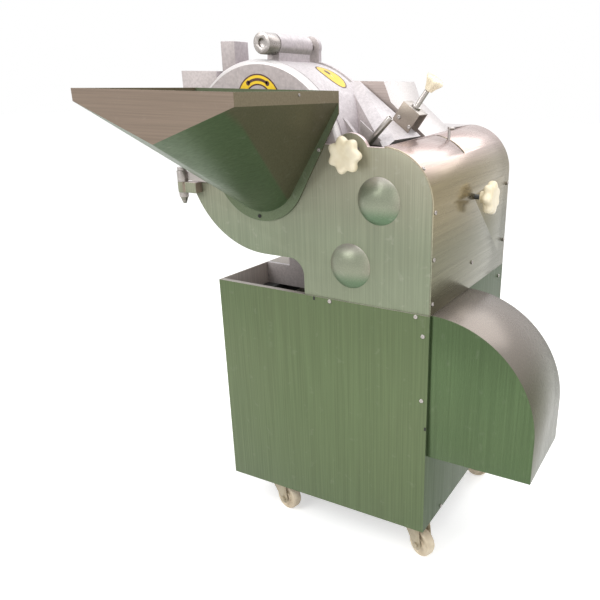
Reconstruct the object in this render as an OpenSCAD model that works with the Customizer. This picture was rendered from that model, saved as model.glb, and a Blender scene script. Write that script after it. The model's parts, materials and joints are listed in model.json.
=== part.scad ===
// Industrial vegetable dicer on casters.
// Drawn from the cabinet: x = 0 is its middle, y = 0 its front plane, z = 0 the floor.
// The whole machine is then moved so that the origin is the middle of its footprint.

/* [Cabinet] */
// Width over the side panels
cab_w = 600; // [580:5:660]
// Depth from the front plane to the back
cab_d = 515; // [500:5:580]
// Height of the cabinet walls
cab_h = 583; // [560:1:640]
// Height of the cabinet's underside above the floor
cab_lift = 105; // [100:1:125]
// Thickness of the sheet
sheet = 3; // [2:0.5:4]
// Side of the square frame tube
tube = 40; // [30:1:45]
// Drop from the cabinet's top edge to the frame's top
frame_drop = 60; // [50:1:80]
// Height of the middle of the motor rail above the floor
rail_z = 440; // [400:1:460]

/* [Side plates] */
// Thickness of the front, mid and rear plates
plate_t = 12; // [8:1:14]
// Outer radius of the shoulder of the right cover
shoulder_r = 118; // [100:1:130]
// Height of the flat top of the right cover above the cabinet
shoulder_rise = 360; // [340:1:380]
// Rise of the right cover from front to back
cover_rise = 20; // [0:1:30]
// Left edge of the cutting housing, from the cabinet's middle
body_left = -35; // [-60:1:-20]
// Fillet under the front plate
plate_fillet = 40; // [20:1:50]
// Radius of the front plate's arm round the drum
arm_r = 226; // [222:1:240]
// Drop of the arm's upper edge below the drum's axis
arm_drop = 65; // [50:1:80]

/* [Drum] */
// Drum axis, from the cabinet's middle
drum_x = -148; // [-160:1:-140]
// Drum axis above the cabinet's top
drum_rise = 312; // [305:1:330]
// Outer radius of the drum case
drum_r = 219; // [212:1:221]
// Wall of the drum case
drum_wall = 20; // [14:1:24]
// Inside length of the drum between its front wall and the mid plate
drum_len = 168; // [160:1:175]
// Thickness of the drum's front wall
front_wall = 16; // [14:1:20]
// Rounding of the front wall's rim
rim_r = 12; // [4:1:13]

/* [Slice gate] */
// Hinge of the gate, right of the drum axis
gate_dx = 22; // [18:1:30]
// Hinge of the gate, above the drum's top
gate_dz = 32; // [29:1:41]
// Outer radius of the hinge barrel
barrel_r = 23; // [18:1:25]
// Radius of the hinge pin
gate_pin_r = 9; // [6:1:11]
// Angle where the gate leaves the round of the drum
gate_angle = 54; // [50:1:58]
// Length of the gate's flat table
table_len = 230; // [215:1:232]
// Thickness of the gate's table
table_t = 18; // [14:1:20]
// Opening of the gate
gate_open = 3; // [1:0.5:4]

/* [Feed hopper] */
// Middle of the feed opening, left of the drum axis
feed_dx = -2; // [-10:1:5]
// Middle of the feed opening, below the drum axis
feed_drop = 10; // [0:1:15]
// Radius of the feed opening in the drum's front wall
feed_r = 108; // [95:1:112]
// Width of the hopper's flange
flange_w = 25; // [18:1:30]
// Overlap of the flange on the front plate
flange_lap = 6; // [4:1:8]
// Lean of the flange's sides from vertical
flange_lean = 30; // [20:1:35]
// Left edge of the hopper rim, from the drum axis
hopper_left = -177; // [-190:1:-165]
// Right edge of the hopper rim, from the drum axis
hopper_right = 221; // [205:1:230]
// Reach of the hopper in front of the front plate
hopper_reach = 338; // [300:1:360]
// Rim of the hopper above the drum axis
hopper_rise = 156; // [145:1:160]
// Height of the upright band under the rim
band_h = 24; // [15:1:30]
// Depth of the front sheet's point below the band
point_h = 72; // [50:1:90]

/* [Hopper hinge] */
// Hinge axis, left of the drum axis
hinge_dx = 230; // [226:1:240]
// Hinge axis in front of the front plate
hinge_y = 16; // [15:1:20]
// Radius of the hinge pin
hinge_pin_r = 7; // [5:0.5:8]
// Wall round the hinge pin
hinge_wall = 6; // [5:1:8]
// Height of each hinge knuckle
knuckle_h = 26; // [20:1:30]

/* [Knife shafts] */
// Crosscut shaft, right of the drum axis
cross_dx = 317; // [315:1:322]
// Crosscut shaft, below the drum axis
cross_dz = 69; // [60:1:75]
// Disc knife shaft, right of the drum axis
disc_dx = 243; // [240:1:246]
// Disc knife shaft, below the drum axis
disc_dz = 224; // [222:1:230]
// Radius of the knife shafts
shaft_r = 15; // [12:1:17]
// Cutting radius of the crosscut knives
cross_r = 76; // [70:1:78]
// Crosscut knives
cross_count = 8; // [4:1:10]
// Radius of the disc knives
disc_r = 86; // [80:1:88]
// Pitch of the disc knives
disc_pitch = 16; // [14:1:20]
// Thickness of a disc knife
disc_t = 2; // [1.5:0.5:3]
// Impeller shaft radius
imp_shaft_r = 20; // [16:1:22]
// Impeller paddles
paddle_count = 6; // [4:1:8]
// Radial gap between the impeller and the drum
imp_gap = 5; // [3:1:8]
// Radius of the domed bearing covers
dome_r = 53; // [48:1:56]
// Height of the domed bearing covers
dome_h = 20; // [12:1:26]

/* [Drive] */
// Teeth of the disc shaft's gear
disc_teeth = 42; // [38:1:44]
// Teeth of the crosscut shaft's gear
cross_teeth = 34; // [32:1:38]
// Face width of the gears
gear_w = 20; // [14:1:24]
// Width of the belts
belt_w = 18; // [12:1:20]
// Thickness of the belts
belt_t = 7; // [5:1:9]
// Radius of the motor pulley
motor_pulley_r = 40; // [34:1:44]
// Radius of the driven pulley on the disc shaft
drive_pulley_r = 76; // [70:1:80]
// Radius of the small pulley that drives the impeller
small_pulley_r = 42; // [36:1:46]
// Radius of the impeller pulley
imp_pulley_r = 108; // [100:1:112]
// Length of the impeller's bearing housing
housing_len = 74; // [70:1:80]

/* [Motor and its cover] */
// Radius of the motor
motor_r = 78; // [70:1:84]
// Motor axis, right of the cabinet
motor_dx = 104; // [100:1:112]
// Motor axis above the floor
motor_z = 470; // [455:1:485]
// Reach of the motor cover from the cabinet
guard_r = 257; // [245:1:270]
// Depth of the motor cover
guard_d = 236; // [234:1:246]
// Gap between the front plane and the motor cover
guard_y = 5; // [2:1:8]
// Straight part below the cover's curve
guard_drop = 106; // [80:1:120]

/* [Hand controls] */
// Radius of a star knob over its lobes
knob_r = 41; // [36:1:44]
// Lobes of a star knob
knob_lobes = 7; // [5:1:8]
// Thickness of a star knob
knob_t = 22; // [16:1:26]
// Radius of the studs in the knobs
stud_r = 6; // [5:0.5:7]
// Front knob, right of the drum axis
lock_dx = 248; // [244:1:252]
// Front knob, above the drum axis
lock_dz = 27; // [22:1:32]
// Radius of the front plate's hump behind the front knob
hump_r = 45; // [42:1:48]
// Side knob behind the front plane
side_knob_y = 252; // [240:1:265]
// Side knob above the cabinet's top
side_knob_rise = 229; // [210:1:240]
// Width of the adjuster's bracket along the table
bracket_w = 50; // [44:1:56]
// Height of the adjuster's bracket
bracket_h = 50; // [44:1:56]
// Depth of the adjuster's bracket
bracket_d = 46; // [40:1:54]

/* [Casters] */
// Radius of a caster wheel
wheel_r = 37.5; // [30:0.5:40]
// Width of a caster wheel
wheel_w = 28; // [22:1:32]
// Trail of a caster
trail = 40; // [32:1:42]
// Inset of the swivels from the cabinet's sides
caster_inset = 58; // [54:1:66]
// Inset of the left casters' swivel axes from the left side
caster_left = 110; // [60:1:130]
// Side of a caster's top plate
caster_plate = 84; // [76:1:90]

/* [Fits] */
// Radial clearance of a running or seated fit
fit = 0.05; // [0.03:0.01:0.08]
// Clearance between parts that pass each other
gap = 2; // [1.5:0.5:3]

/* [Hidden] */
$fn = 64;
right = cab_w / 2;
left = -right;
cab_top = cab_lift + cab_h;
frame_top = cab_top - frame_drop;
frame_in = right - sheet;
back_in = cab_d - sheet;
// Plates along the depth
mid_y = plate_t + front_wall + drum_len;
mid_back = mid_y + plate_t;
rear_y = cab_d - plate_t;
// Heights and centres of the upper machine
drum_z = cab_top + drum_rise;
drum_in = drum_r - drum_wall;
feed_x = drum_x + feed_dx;
feed_z = drum_z - feed_drop;
arm_z = drum_z - arm_drop;
arm_bottom = drum_z - arm_r;
body_top = cab_top + shoulder_rise;
shoulder_x = right - shoulder_r;
shoulder_z = body_top - shoulder_r;
plate_bottom = frame_top - tube;
cross_x = drum_x + cross_dx;
cross_z = drum_z - cross_dz;
disc_x = drum_x + disc_dx;
disc_z = drum_z - disc_dz;
lock_x = drum_x + lock_dx;
lock_z = drum_z + lock_dz;
// Slice gate
gate_up = drum_r + gate_dz;
gate_x = drum_x + gate_dx;
gate_z = drum_z + gate_up;
hinge_angle = atan2(gate_up, gate_dx);
table_r = drum_r + table_t;
gate_y0 = plate_t + front_wall + gap;
gate_y1 = mid_y - gap;
barrel_y0 = plate_t + 34;
table_y0 = gate_y0 + 26;
case_angle = hinge_angle + 10;
gate_end = 12;
bracket_s = 190;
bracket_y = gate_y1 - bracket_d - 2;
rod_out = 44;
lever_angle = 46;
lever_len = 109;
lever_r = 7;
lock_reach = norm([lock_x - gate_x, lock_z - gate_z]);
lock_angle = atan2(lock_z - gate_z, lock_x - gate_x);
lock_slot = stud_r + gap;
lock_hub_r = 15;
// Hopper
flange_r = feed_r + flange_w;
plate_feed_r = flange_r - flange_lap;
rim_x0 = drum_x + hopper_left;
rim_x1 = drum_x + hopper_right;
rim_z = drum_z + hopper_rise;
band_z = rim_z - band_h;
point_x = (rim_x0 + rim_x1) / 2;
flange_y = 0.5;
flange_back = flange_y + sheet;
// Hopper hinge
hinge_x = drum_x - hinge_dx;
hinge_r = hinge_pin_r + hinge_wall;
hinge_z = arm_z - knuckle_h;
strap_t = 8;
nut_h = 24;
// Slicing knife
knife_angle = -24;
knife_lift = 6;
knife_seat = 40;
// Cast lug, from the drum axis
lug_x = -118;
lug_w = 41;
lug_d = 50;
lug_top = 258;
wing_x = 228;
wing_z = 193;
ridge_s = 27;
ridge_y = 58;
ridge_drop = 24;
web_s = 170;
// Bearings
bearing_r = 31;
housing_flange_r = 68;
shaft_nose = 5;
motor_shaft_r = 12;
// Disc knives and comb
disc_count = floor((drum_len - 2 * disc_pitch) / disc_pitch) + 1;
disc_y0 = plate_t + front_wall + disc_pitch;
spacer_r = shaft_r + 14;
cutter_y0 = plate_t + front_wall + 6;
cutter_y1 = mid_y - 8;
cross_hub = 52;
paddle_lean = 18;
comb_w = disc_pitch - disc_t - 4 * gap;
comb_drop = 52;
comb_bar = [18, 24];
comb_air = 4;
// Planes of the drive
drive_y = mid_back + gap + 2;
gear_y = drive_y + belt_w + 10;
imp_y = mid_back + housing_len + gap;
shaft_end = imp_y + belt_w + 6;
gear_gap = norm([cross_x - disc_x, cross_z - disc_z]);
gear_m = 2 * gear_gap / (disc_teeth + cross_teeth);
motor_x = right + motor_dx;
motor_y0 = guard_y + sheet + 12;
motor_y1 = drive_y - 12;
belt_air = 0.4;
gear_play = 8;
mesh_angle = atan2(cross_z - disc_z, cross_x - disc_x);
mount_t = 8;
motor_foot = 56;
cowl_d = 44;
bell_d = 16;
fin_h = 8;
// Motor cover
guard_z = cab_top - guard_r;
guard_y1 = guard_y + guard_d;
// Gear cover
hood_d = 172;
hood_low = 43;
hood_in = 22;
hood_y1 = mid_back + hood_d;
hood_top = drum_z + drum_r - hood_low;
hood_left = drum_x - drum_r + hood_in;
hood_right = drum_x + drum_r - 1;
hood_drop = 130;
hood_slope = [40, 70];
// Slot of the right cover and the pin in it
slot_y = mid_back + 36;
slot_w = 8;
slot_rise = 88;
pointer_x = shoulder_x + 46;
pointer_rise = 84;
pointer_r = 3.5;
pointer_h = 62;
// Knobs
knob_boss = 12;
side_stem = 16;
// Chute
chute_x0 = disc_x + disc_r + 14;
chute_z0 = disc_z - disc_r - 24;
chute_x1 = left - 38;
chute_z1 = cab_lift + 120;
chute_wall = 55;
tie_r = 9;
// Casters
caster_t = 5;
king_r = 8;
fork_t = 4;
axle_r = 5;
wheel_gap = 1.5;
fork_head = 6;
rest_turn = [-12, -22, -50, 10];
caster_at = [[left + caster_left, caster_inset], [right - caster_inset, caster_inset],
    [left + caster_left, cab_d - caster_inset], [right - caster_inset, cab_d - caster_inset]];
// Middle of the footprint
x_min = hinge_x - hinge_r;
x_max = right + guard_r;
y_min = -hopper_reach;
mid_point = [-(x_min + x_max) / 2, -(y_min + cab_d) / 2, 0];

steel = "#aab09f";
bright = "#cfccc8";
cast = "#c8c0c2";
cream = "#eee2c4";
dark = "#55585a";

// Outline drawn in x and z, given a depth from y0 to y1
module along_y(y0, y1) {
    translate([0, y1, 0]) rotate([90, 0, 0]) linear_extrude(y1 - y0) children();
}

// Round bar along the depth
module bar_y(x, z, r, y0, y1) {
    translate([x, y1, z]) rotate([90, 0, 0]) cylinder(r = r, h = y1 - y0);
}

// Ring along the depth
module ring_y(x, z, r_out, r_in, y0, y1) {
    difference() {
        bar_y(x, z, r_out, y0, y1);
        bar_y(x, z, r_in, y0 - 1, y1 + 1);
    }
}

// Box from one corner to the other
module box(low, high) {
    translate(low) cube(high - low);
}

// Wedge of a circle between two angles, drawn round the origin
module wedge(r, a0, a1) {
    steps = 12;
    polygon(concat([[0, 0]],
        [for (i = [0:steps]) let (a = a0 + (a1 - a0) * i / steps) 2 * r * [cos(a), sin(a)]]));
}

// U-shaped outline of the feed flange: a round bottom and two leaning sides up to a height
module feed_outline(r, top) {
    rise = top - feed_z + r * sin(flange_lean);
    side = r * cos(flange_lean) + rise * tan(flange_lean);
    low = r * [cos(flange_lean), -sin(flange_lean)];
    translate([feed_x, feed_z]) union() {
        circle(r);
        polygon([[-low.x, low.y], [low.x, low.y], [side, top - feed_z], [-side, top - feed_z]]);
    }
}

// Outline of the cutting housing, set in from the cover by a given amount
module housing_outline(inset, lift) {
    top = body_top + lift - inset;
    translate([body_left, plate_bottom]) square([shoulder_x - body_left, top - plate_bottom]);
    translate([body_left, plate_bottom])
        square([right - inset - body_left, shoulder_z + lift - plate_bottom]);
    translate([shoulder_x, shoulder_z + lift]) circle(shoulder_r - inset);
}

// Front plate round the drum: housing, arm, fillet and the hump behind the front knob
module front_outline() {
    difference() {
        union() {
            housing_outline(sheet, 0);
            intersection() {
                translate([drum_x, drum_z]) circle(arm_r);
                translate([drum_x - 2 * arm_r, arm_bottom - 1])
                    square([4 * arm_r, arm_z - arm_bottom + 1]);
            }
            translate([drum_x, arm_bottom]) square([body_left - drum_x + 1, arm_r]);
            difference() {
                translate([body_left - plate_fillet, arm_bottom - plate_fillet])
                    square([plate_fillet + 1, plate_fillet + 1]);
                translate([body_left - plate_fillet, arm_bottom - plate_fillet]) circle(plate_fillet);
            }
            translate([lock_x, lock_z]) circle(hump_r);
        }
        feed_outline(plate_feed_r, body_top + 2 * hump_r);
        translate([drum_x - 2 * arm_r, arm_z]) square([2 * arm_r, arm_r]);
    }
}

// Curved slot that lets the lock stud follow the gate
module lock_slot() {
    ends = 57.3 * lock_slot / lock_reach;
    translate([gate_x, gate_z]) intersection() {
        difference() {
            circle(lock_reach + lock_slot);
            circle(lock_reach - lock_slot);
        }
        wedge(lock_reach, lock_angle - ends, lock_angle + gate_open + ends);
    }
}

// Welded tube frame inside the cabinet
module base_frame() color(dark) translate(mid_point) {
    for (s = [-1, 1]) {
        x0 = s < 0 ? -frame_in : frame_in - tube;
        for (y = [plate_t, back_in - tube])
            box([x0, y, cab_lift], [x0 + tube, y + tube, frame_top]);
        for (z = [cab_lift, frame_top - tube])
            box([x0, plate_t + tube, z], [x0 + tube, back_in - tube, z + tube]);
    }
    for (y = [plate_t, back_in - tube])
        box([-frame_in + tube, y, cab_lift], [frame_in - tube, y + tube, cab_lift + tube]);
    box([-frame_in + tube, back_in - tube, frame_top - tube], [frame_in - tube, back_in, frame_top]);
    box([frame_in - tube, plate_t + tube, rail_z], [frame_in, back_in - tube, rail_z + tube]);
}

// Front panel: a tray with folded edges, open behind the front plate
module front_panel() color(steel) translate(mid_point) {
    box([left, -sheet, cab_lift], [right, 0, cab_top]);
    box([left + sheet, 0, cab_lift], [right - sheet, plate_t, cab_lift + sheet]);
    box([left + sheet, 0, cab_top - sheet], [body_left - gap, plate_t, cab_top]);
}

// Right panel with the slot for the drive belt
module right_panel() color(steel) translate(mid_point) difference() {
    box([frame_in, 0, cab_lift], [right, back_in, cab_top]);
    box([frame_in - 1, drive_y - gap, rail_z + tube + 8],
        [right + 1, drive_y + belt_w + gap, cab_top - 6]);
}

// Left panel with the discharge opening
module left_panel() color(steel) translate(mid_point) difference() {
    box([left, 0, cab_lift], [-frame_in, back_in, cab_top]);
    box([left - 1, plate_t + tube, chute_z1 - gap], [-frame_in + 1, mid_y + gap, chute_z1 + 3 * chute_wall]);
}

// Back panel with the hole of the cable gland
module back_panel() color(steel) translate(mid_point) difference() {
    box([left, back_in, cab_lift], [right, cab_d, cab_top]);
    bar_y(right - 120, cab_lift + 110, 10, back_in - 1, cab_d + 1);
}

// Top panel over the rear left of the cabinet
module top_panel() color(steel) translate(mid_point)
    box([-frame_in, mid_back, cab_top - sheet], [body_left - sheet, back_in, cab_top]);

// Plan of the chute, narrowed past the front leg, set in by a given amount
module chute_plan(inset) {
    leg_y = plate_t + tube + gap + inset;
    polygon([[chute_x0, plate_t + inset], [chute_x0, mid_y - inset], [chute_x1, mid_y - inset],
        [chute_x1, leg_y], [-frame_in + 2 * tube, leg_y], [body_left - 2 * tube, plate_t + inset]]);
}

// Sloping slab between two heights above the chute's floor
module chute_slope(z0, z1) {
    low = [chute_x1, chute_z1];
    high = [chute_x0, chute_z0];
    along_y(0, mid_y + 1) polygon([low + [0, z0], high + [0, z0], high + [0, z1], low + [0, z1]]);
}

// Sloping chute under the knives, out through the left panel
module discharge_chute() color(bright) translate(mid_point) difference() {
    intersection() {
        chute_slope(0, chute_wall);
        linear_extrude(cab_top) chute_plan(0);
    }
    intersection() {
        chute_slope(sheet, chute_wall + 1);
        linear_extrude(cab_top) chute_plan(sheet);
    }
}

// Front plate with the bearing holes and the curved slot
module front_plate() color(steel) translate(mid_point) difference() {
    along_y(0, plate_t) difference() {
        front_outline();
        lock_slot();
    }
    for (p = [[disc_x, disc_z], [cross_x, cross_z]]) bar_y(p.x, p.y, bearing_r + fit, -1, plate_t + 1);
}

// Mid plate: back of the drum and of the cutting chamber
module mid_plate() color(steel) translate(mid_point) difference() {
    along_y(mid_y, mid_back) union() {
        translate([drum_x, drum_z]) circle(drum_r + 4);
        translate([-frame_in, frame_top]) square([2 * frame_in, cab_top - frame_top]);
        translate([left + 2 * tube, cab_top - 1]) square([shoulder_x - left - 2 * tube, drum_z - cab_top]);
        translate([body_left, cab_top]) square([shoulder_x - body_left, body_top - sheet - cab_top]);
        translate([shoulder_x, shoulder_z]) circle(shoulder_r - sheet);
        translate([shoulder_x, cab_top]) square([shoulder_r - sheet, shoulder_z - cab_top]);
        translate([gate_x, gate_z]) circle(barrel_r + 2);
        translate([gate_x - barrel_r, drum_z]) square([2 * barrel_r, gate_up]);
    }
    bar_y(gate_x, gate_z, gate_pin_r + fit, mid_y - 1, mid_back + 1);
    for (p = [[disc_x, disc_z], [cross_x, cross_z]])
        bar_y(p.x, p.y, bearing_r + fit, mid_y - 1, mid_back + 1);
    bar_y(drum_x, drum_z, imp_shaft_r + gap, mid_y - 1, mid_back + 1);
}

// Rear plate of the housing, standing a little above the front one
module rear_plate() color(steel) translate(mid_point) {
    along_y(rear_y, cab_d) difference() {
        housing_outline(sheet, cover_rise * rear_y / cab_d);
        translate([body_left - 1, plate_bottom - 1]) square([2 * right, cab_top - plate_bottom + 1]);
    }
    box([body_left, rear_y, frame_top], [frame_in, back_in, cab_top]);
}

// Bars that tie the three plates together
module tie_bars() color(bright) translate(mid_point) {
    side_x = right - sheet - 2 * tie_r;
    for (p = [[side_x, cab_top + tie_r], [side_x, cross_z + tube], [body_left + tube, cab_top - tube]])
        bar_y(p.x, p.y, tie_r, plate_t, mid_y);
    for (p = [[side_x, disc_z + tube], [side_x, cross_z + tube], [body_left + tube / 2, cab_top + tie_r]])
        bar_y(p.x, p.y, tie_r, mid_back, rear_y);
}

// Solid of the right cover, set in by a given amount and longer by a given amount at both ends
module cover_solid(inset, over) {
    slice = 0.01;
    hull() for (end = [[-over, 0], [cab_d + over - slice, cover_rise]]) {
        translate([shoulder_x, end[0] + slice, shoulder_z + end[1]]) rotate([90, 0, 0])
            cylinder(r = shoulder_r - inset, h = slice, $fn = 96);
        box([shoulder_x - shoulder_r, end[0], cab_top - over], [right - inset, end[0] + slice, shoulder_z]);
    }
}

// Curved right cover with its slot and the hole of the side knob
module curved_cover() color(bright) translate(mid_point) difference() {
    cover_solid(0, 0);
    cover_solid(sheet - 2 * fit, 1);
    box([left, -1, cab_top - 2], [shoulder_x, cab_d + 1, body_top + cover_rise + 1]);
    box([shoulder_x + 8, slot_y - slot_w / 2, shoulder_z + slot_rise],
        [right, slot_y + slot_w / 2, body_top + cover_rise + 1]);
    translate([right - 2 * sheet, side_knob_y, cab_top + side_knob_rise]) rotate([0, 90, 0])
        cylinder(r = stud_r + fit, h = 3 * sheet);
}

// Rear hood: top and left wall between the gear cover and the rear plate
module rear_hood() color(steel) translate(mid_point) {
    top = body_top + cover_rise;
    box([body_left - sheet, hood_y1, top - sheet], [shoulder_x, cab_d, top]);
    box([body_left - sheet, hood_y1, cab_top], [body_left, cab_d, top - sheet]);
}

// Gear cover behind the drum, with sloping ends, open towards the cutting housing
module gear_cover() color(cast) translate(mid_point) {
    outer = [[body_left, cab_top], [hood_left, drum_z - hood_drop], [hood_left, hood_top - hood_slope.y],
        [hood_left + hood_slope.x, hood_top], [hood_right, hood_top],
        [hood_right + hood_slope.x / 2, hood_top - hood_slope.y * 2 / 3], [shoulder_x, body_top + 8]];
    difference() {
        along_y(mid_back, hood_y1)
            polygon(concat(outer, [[shoulder_x, body_top], [body_left, body_top]]));
        along_y(mid_back + sheet, hood_y1 - sheet) offset(delta = -sheet)
            polygon(concat(outer, [[2 * right, body_top + 8], [2 * right, cab_top]]));
        bar_y(drum_x, drum_z, housing_flange_r + gap, mid_back - 1, mid_back + sheet + 1);
    }
}

// Sector of the drum shell between two angles
module drum_sector(a0, a1, y0, y1) {
    along_y(y0, y1) translate([drum_x, drum_z]) intersection() {
        difference() {
            circle(drum_r, $fn = 128);
            circle(drum_in, $fn = 128);
        }
        wedge(drum_r, a0, a1);
    }
}

// Profile of the drum case, radius along x and depth along y
module case_profile() {
    difference() {
        union() {
            square([drum_r - rim_r, front_wall]);
            translate([0, rim_r]) square([drum_r, front_wall + drum_len - rim_r]);
            translate([drum_r - rim_r, rim_r]) circle(rim_r);
        }
        translate([-1, front_wall]) square([drum_in + 1, drum_len + 1]);
    }
}

// Fixed drum case: front wall with rounded rim and feed neck, shell, cast wing and knife seat
module drum_case() color(cast) translate(mid_point) {
    shell_y0 = plate_t + front_wall;
    difference() {
        union() {
            difference() {
                translate([drum_x, plate_t, drum_z]) rotate([-90, 0, 0])
                    rotate_extrude($fn = 128) case_profile();
                along_y(shell_y0, mid_y + 1) translate([drum_x, drum_z]) wedge(drum_r, knife_angle - 2, case_angle);
            }
            bar_y(feed_x, feed_z, plate_feed_r - gap, 0, plate_t + 1);
            difference() {
                along_y(plate_t + 2, plate_t + 34) translate([drum_x, drum_z])
                    polygon([[-wing_x, wing_z], [-wing_x * 0.53, wing_z], [-wing_x * 0.53, wing_z / 2],
                        [-wing_x * 0.66, wing_z * 0.32], [-wing_x, wing_z * 0.45]]);
                bar_y(drum_x, drum_z, drum_r - 6, 0, mid_y);
            }
            translate([drum_x, 0, drum_z]) rotate([0, -knife_angle, 0])
                box([drum_in + 4, shell_y0 - 1, -knife_seat], [drum_r + knife_lift, mid_y - gap, knife_seat / 2]);
        }
        bar_y(feed_x, feed_z, feed_r, -1, shell_y0 + 1);
    }
}

// Cast lug on the upper left of the drum case
module case_lug() color(cast) translate(mid_point) difference() {
    translate([drum_x, 0, drum_z])
        box([lug_x, plate_t + 20, drum_r - 40], [lug_x + lug_w, plate_t + 20 + lug_d, lug_top]);
    bar_y(drum_x, drum_z, drum_r, 0, mid_y);
}

// Point on the gate's table: s along it, u out from the drum axis
function table_at(s, u) = [drum_x + u * cos(gate_angle) + s * sin(gate_angle),
    drum_z + u * sin(gate_angle) - s * cos(gate_angle)];

// Frame that stands on the table: x along it, z out of it
module on_table(s, y) {
    translate([table_at(s, table_r).x, y, table_at(s, table_r).y])
        rotate([0, 90 - gate_angle, 0]) children();
}

// Point round the drum at an angle and a radius
function drum_at(a, r) = [drum_x + r * cos(a), drum_z + r * sin(a)];

// Flat layer of the gate's plate: its front edge runs aslant from s0 to y0 at the far end
module plate_layer(s0, y0, depth, t) {
    on_table(0, 0) translate([0, 0, -depth]) linear_extrude(t)
        polygon([[s0, gate_y1 - 1], [table_len, gate_y1 - 1], [table_len, y0]]);
}

// Plate on the rear of the gate, with a sloped front edge and a web down to the shell
module gate_plate() {
    hull() {
        plate_layer(ridge_s, ridge_y, 1, 1);
        plate_layer(0, ridge_y - ridge_drop, ridge_drop, 1);
    }
    intersection() {
        along_y(gate_y0, gate_y1 - 2) polygon([table_at(0, drum_r - 4), table_at(web_s, drum_r - 4),
            drum_at(gate_end + 2, drum_r - 4)]);
        plate_layer(0, ridge_y - ridge_drop, table_r, table_r);
    }
}

// Hinged slice gate: shell, aslant plate, hinge barrel and the cheek that takes the lock stud
module slice_gate() color(cast) translate(mid_point) difference() {
    union() {
        drum_sector(gate_end, case_angle - 1, gate_y0, gate_y1);
        gate_plate();
        bar_y(gate_x, gate_z, barrel_r, barrel_y0, gate_y1 - barrel_r);
        translate([drum_x, 0, drum_z]) rotate([0, -hinge_angle, 0])
            box([drum_r - 3, barrel_y0 + 1, -barrel_r * 0.7],
                [norm([gate_dx, gate_up]), gate_y1 - barrel_r - 1, barrel_r * 0.7]);
        along_y(table_y0, table_y0 + plate_t) polygon([drum_at(30, drum_r - 3), [lock_x + lock_hub_r, lock_z],
            [lock_x - lock_hub_r, lock_z], drum_at(gate_end + 1, drum_r - 3)]);
        bar_y(lock_x, lock_z, lock_hub_r, gate_y0, table_y0 + plate_t);
    }
    bar_y(gate_x, gate_z, gate_pin_r + fit, barrel_y0 - 1, gate_y1 + 1);
    bar_y(lock_x, lock_z, stud_r + fit, gate_y0 - 1, table_y0 + plate_t + 1);
}

// Hinge pin of the gate with its large socket-headed cap
module gate_hinge_pin() color(bright) translate(mid_point) difference() {
    union() {
        bar_y(gate_x, gate_z, gate_pin_r, barrel_y0 - gap - 1, mid_back + 4);
        bar_y(gate_x, gate_z, barrel_r, plate_t - 8, barrel_y0 - gap);
    }
    bar_y(gate_x, gate_z, gate_pin_r, plate_t - 9, plate_t - 2);
}

// Bent sheet bracket of the adjuster, open at its left and right
module adjuster_bracket() color(bright) translate(mid_point) on_table(bracket_s, bracket_y)
    difference() {
        box([-bracket_w / 2, 0, 0], [bracket_w / 2, bracket_d, bracket_h]);
        box([-bracket_w, sheet, -1], [bracket_w, bracket_d - sheet, bracket_h - sheet]);
        translate([0, bracket_d / 2, 0]) cylinder(r = stud_r + fit, h = bracket_h + 1);
    }

// Threaded rod of the adjuster with its collar
module adjuster_screw() color(bright) translate(mid_point)
    on_table(bracket_s, bracket_y + bracket_d / 2) {
        translate([0, 0, gap]) cylinder(r = stud_r, h = bracket_h + rod_out);
        translate([0, 0, bracket_h + 0.3]) cylinder(r = stud_r + 5, h = 5);
        translate([0, 0, bracket_h - sheet - 5.3]) cylinder(r = stud_r + 5, h = 5);
    }

// Mushroom knob on the adjuster
module adjuster_knob() color(cream) translate(mid_point)
    on_table(bracket_s, bracket_y + bracket_d / 2) translate([0, 0, bracket_h + rod_out + gap])
        rotate_extrude() polygon([[0, 0], [9, 0], [10, 6], [19, 15], [21, 21], [19, 28], [12, 32], [0, 33]]);

// Bar on the lock hub, seen above the front plate's hump
module lock_lever() color(bright) translate(mid_point)
    translate([lock_x, (gate_y0 + table_y0) / 2, lock_z]) rotate([0, 90 - lever_angle, 0])
        difference() {
            translate([0, 0, lock_hub_r - 2]) cylinder(r = lever_r, h = lever_len - lock_hub_r);
            translate([0, 0, lever_len - 20]) cylinder(r = lever_r - 2.5, h = 30);
            rotate([90, 0, 0]) cylinder(r = lock_hub_r, h = 4 * lever_r, center = true);
        }

// Star knob with a raised boss, along +z from its back face
module star_knob() {
    lobe_r = knob_r * 0.27;
    for (layer = [[0, knob_t - 5, 1], [knob_t - 5, knob_t, 0.92]])
        translate([0, 0, layer[0]]) linear_extrude(layer[1] - layer[0]) scale(layer[2]) {
            circle(knob_r - lobe_r);
            for (i = [0:knob_lobes - 1]) rotate(90 + i * 360 / knob_lobes)
                translate([knob_r - lobe_r, 0]) circle(lobe_r, $fn = 32);
        }
    translate([0, 0, -knob_boss]) cylinder(r = knob_r * 0.38, h = knob_boss);
}

// Front star knob and its stud, screwed into the gate through the curved slot
module lock_knob() color(cream) translate(mid_point) {
    translate([lock_x, -gap - knob_boss, lock_z]) rotate([90, 0, 0]) star_knob();
    bar_y(lock_x, lock_z, stud_r, -gap - knob_boss - 1, table_y0);
}

// Hooked pin that stands in the cover's slot
module pointer_pin() color(bright) translate(mid_point) {
    z0 = cross_z + pointer_rise;
    bar_y(pointer_x, z0, pointer_r, mid_back, slot_y + pointer_r);
    translate([pointer_x, slot_y, z0]) cylinder(r = pointer_r, h = pointer_h);
    translate([pointer_x, slot_y, z0 + pointer_h - pointer_r]) rotate([0, 90, 0])
        cylinder(r = pointer_r, h = 4 * pointer_r);
}

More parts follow.
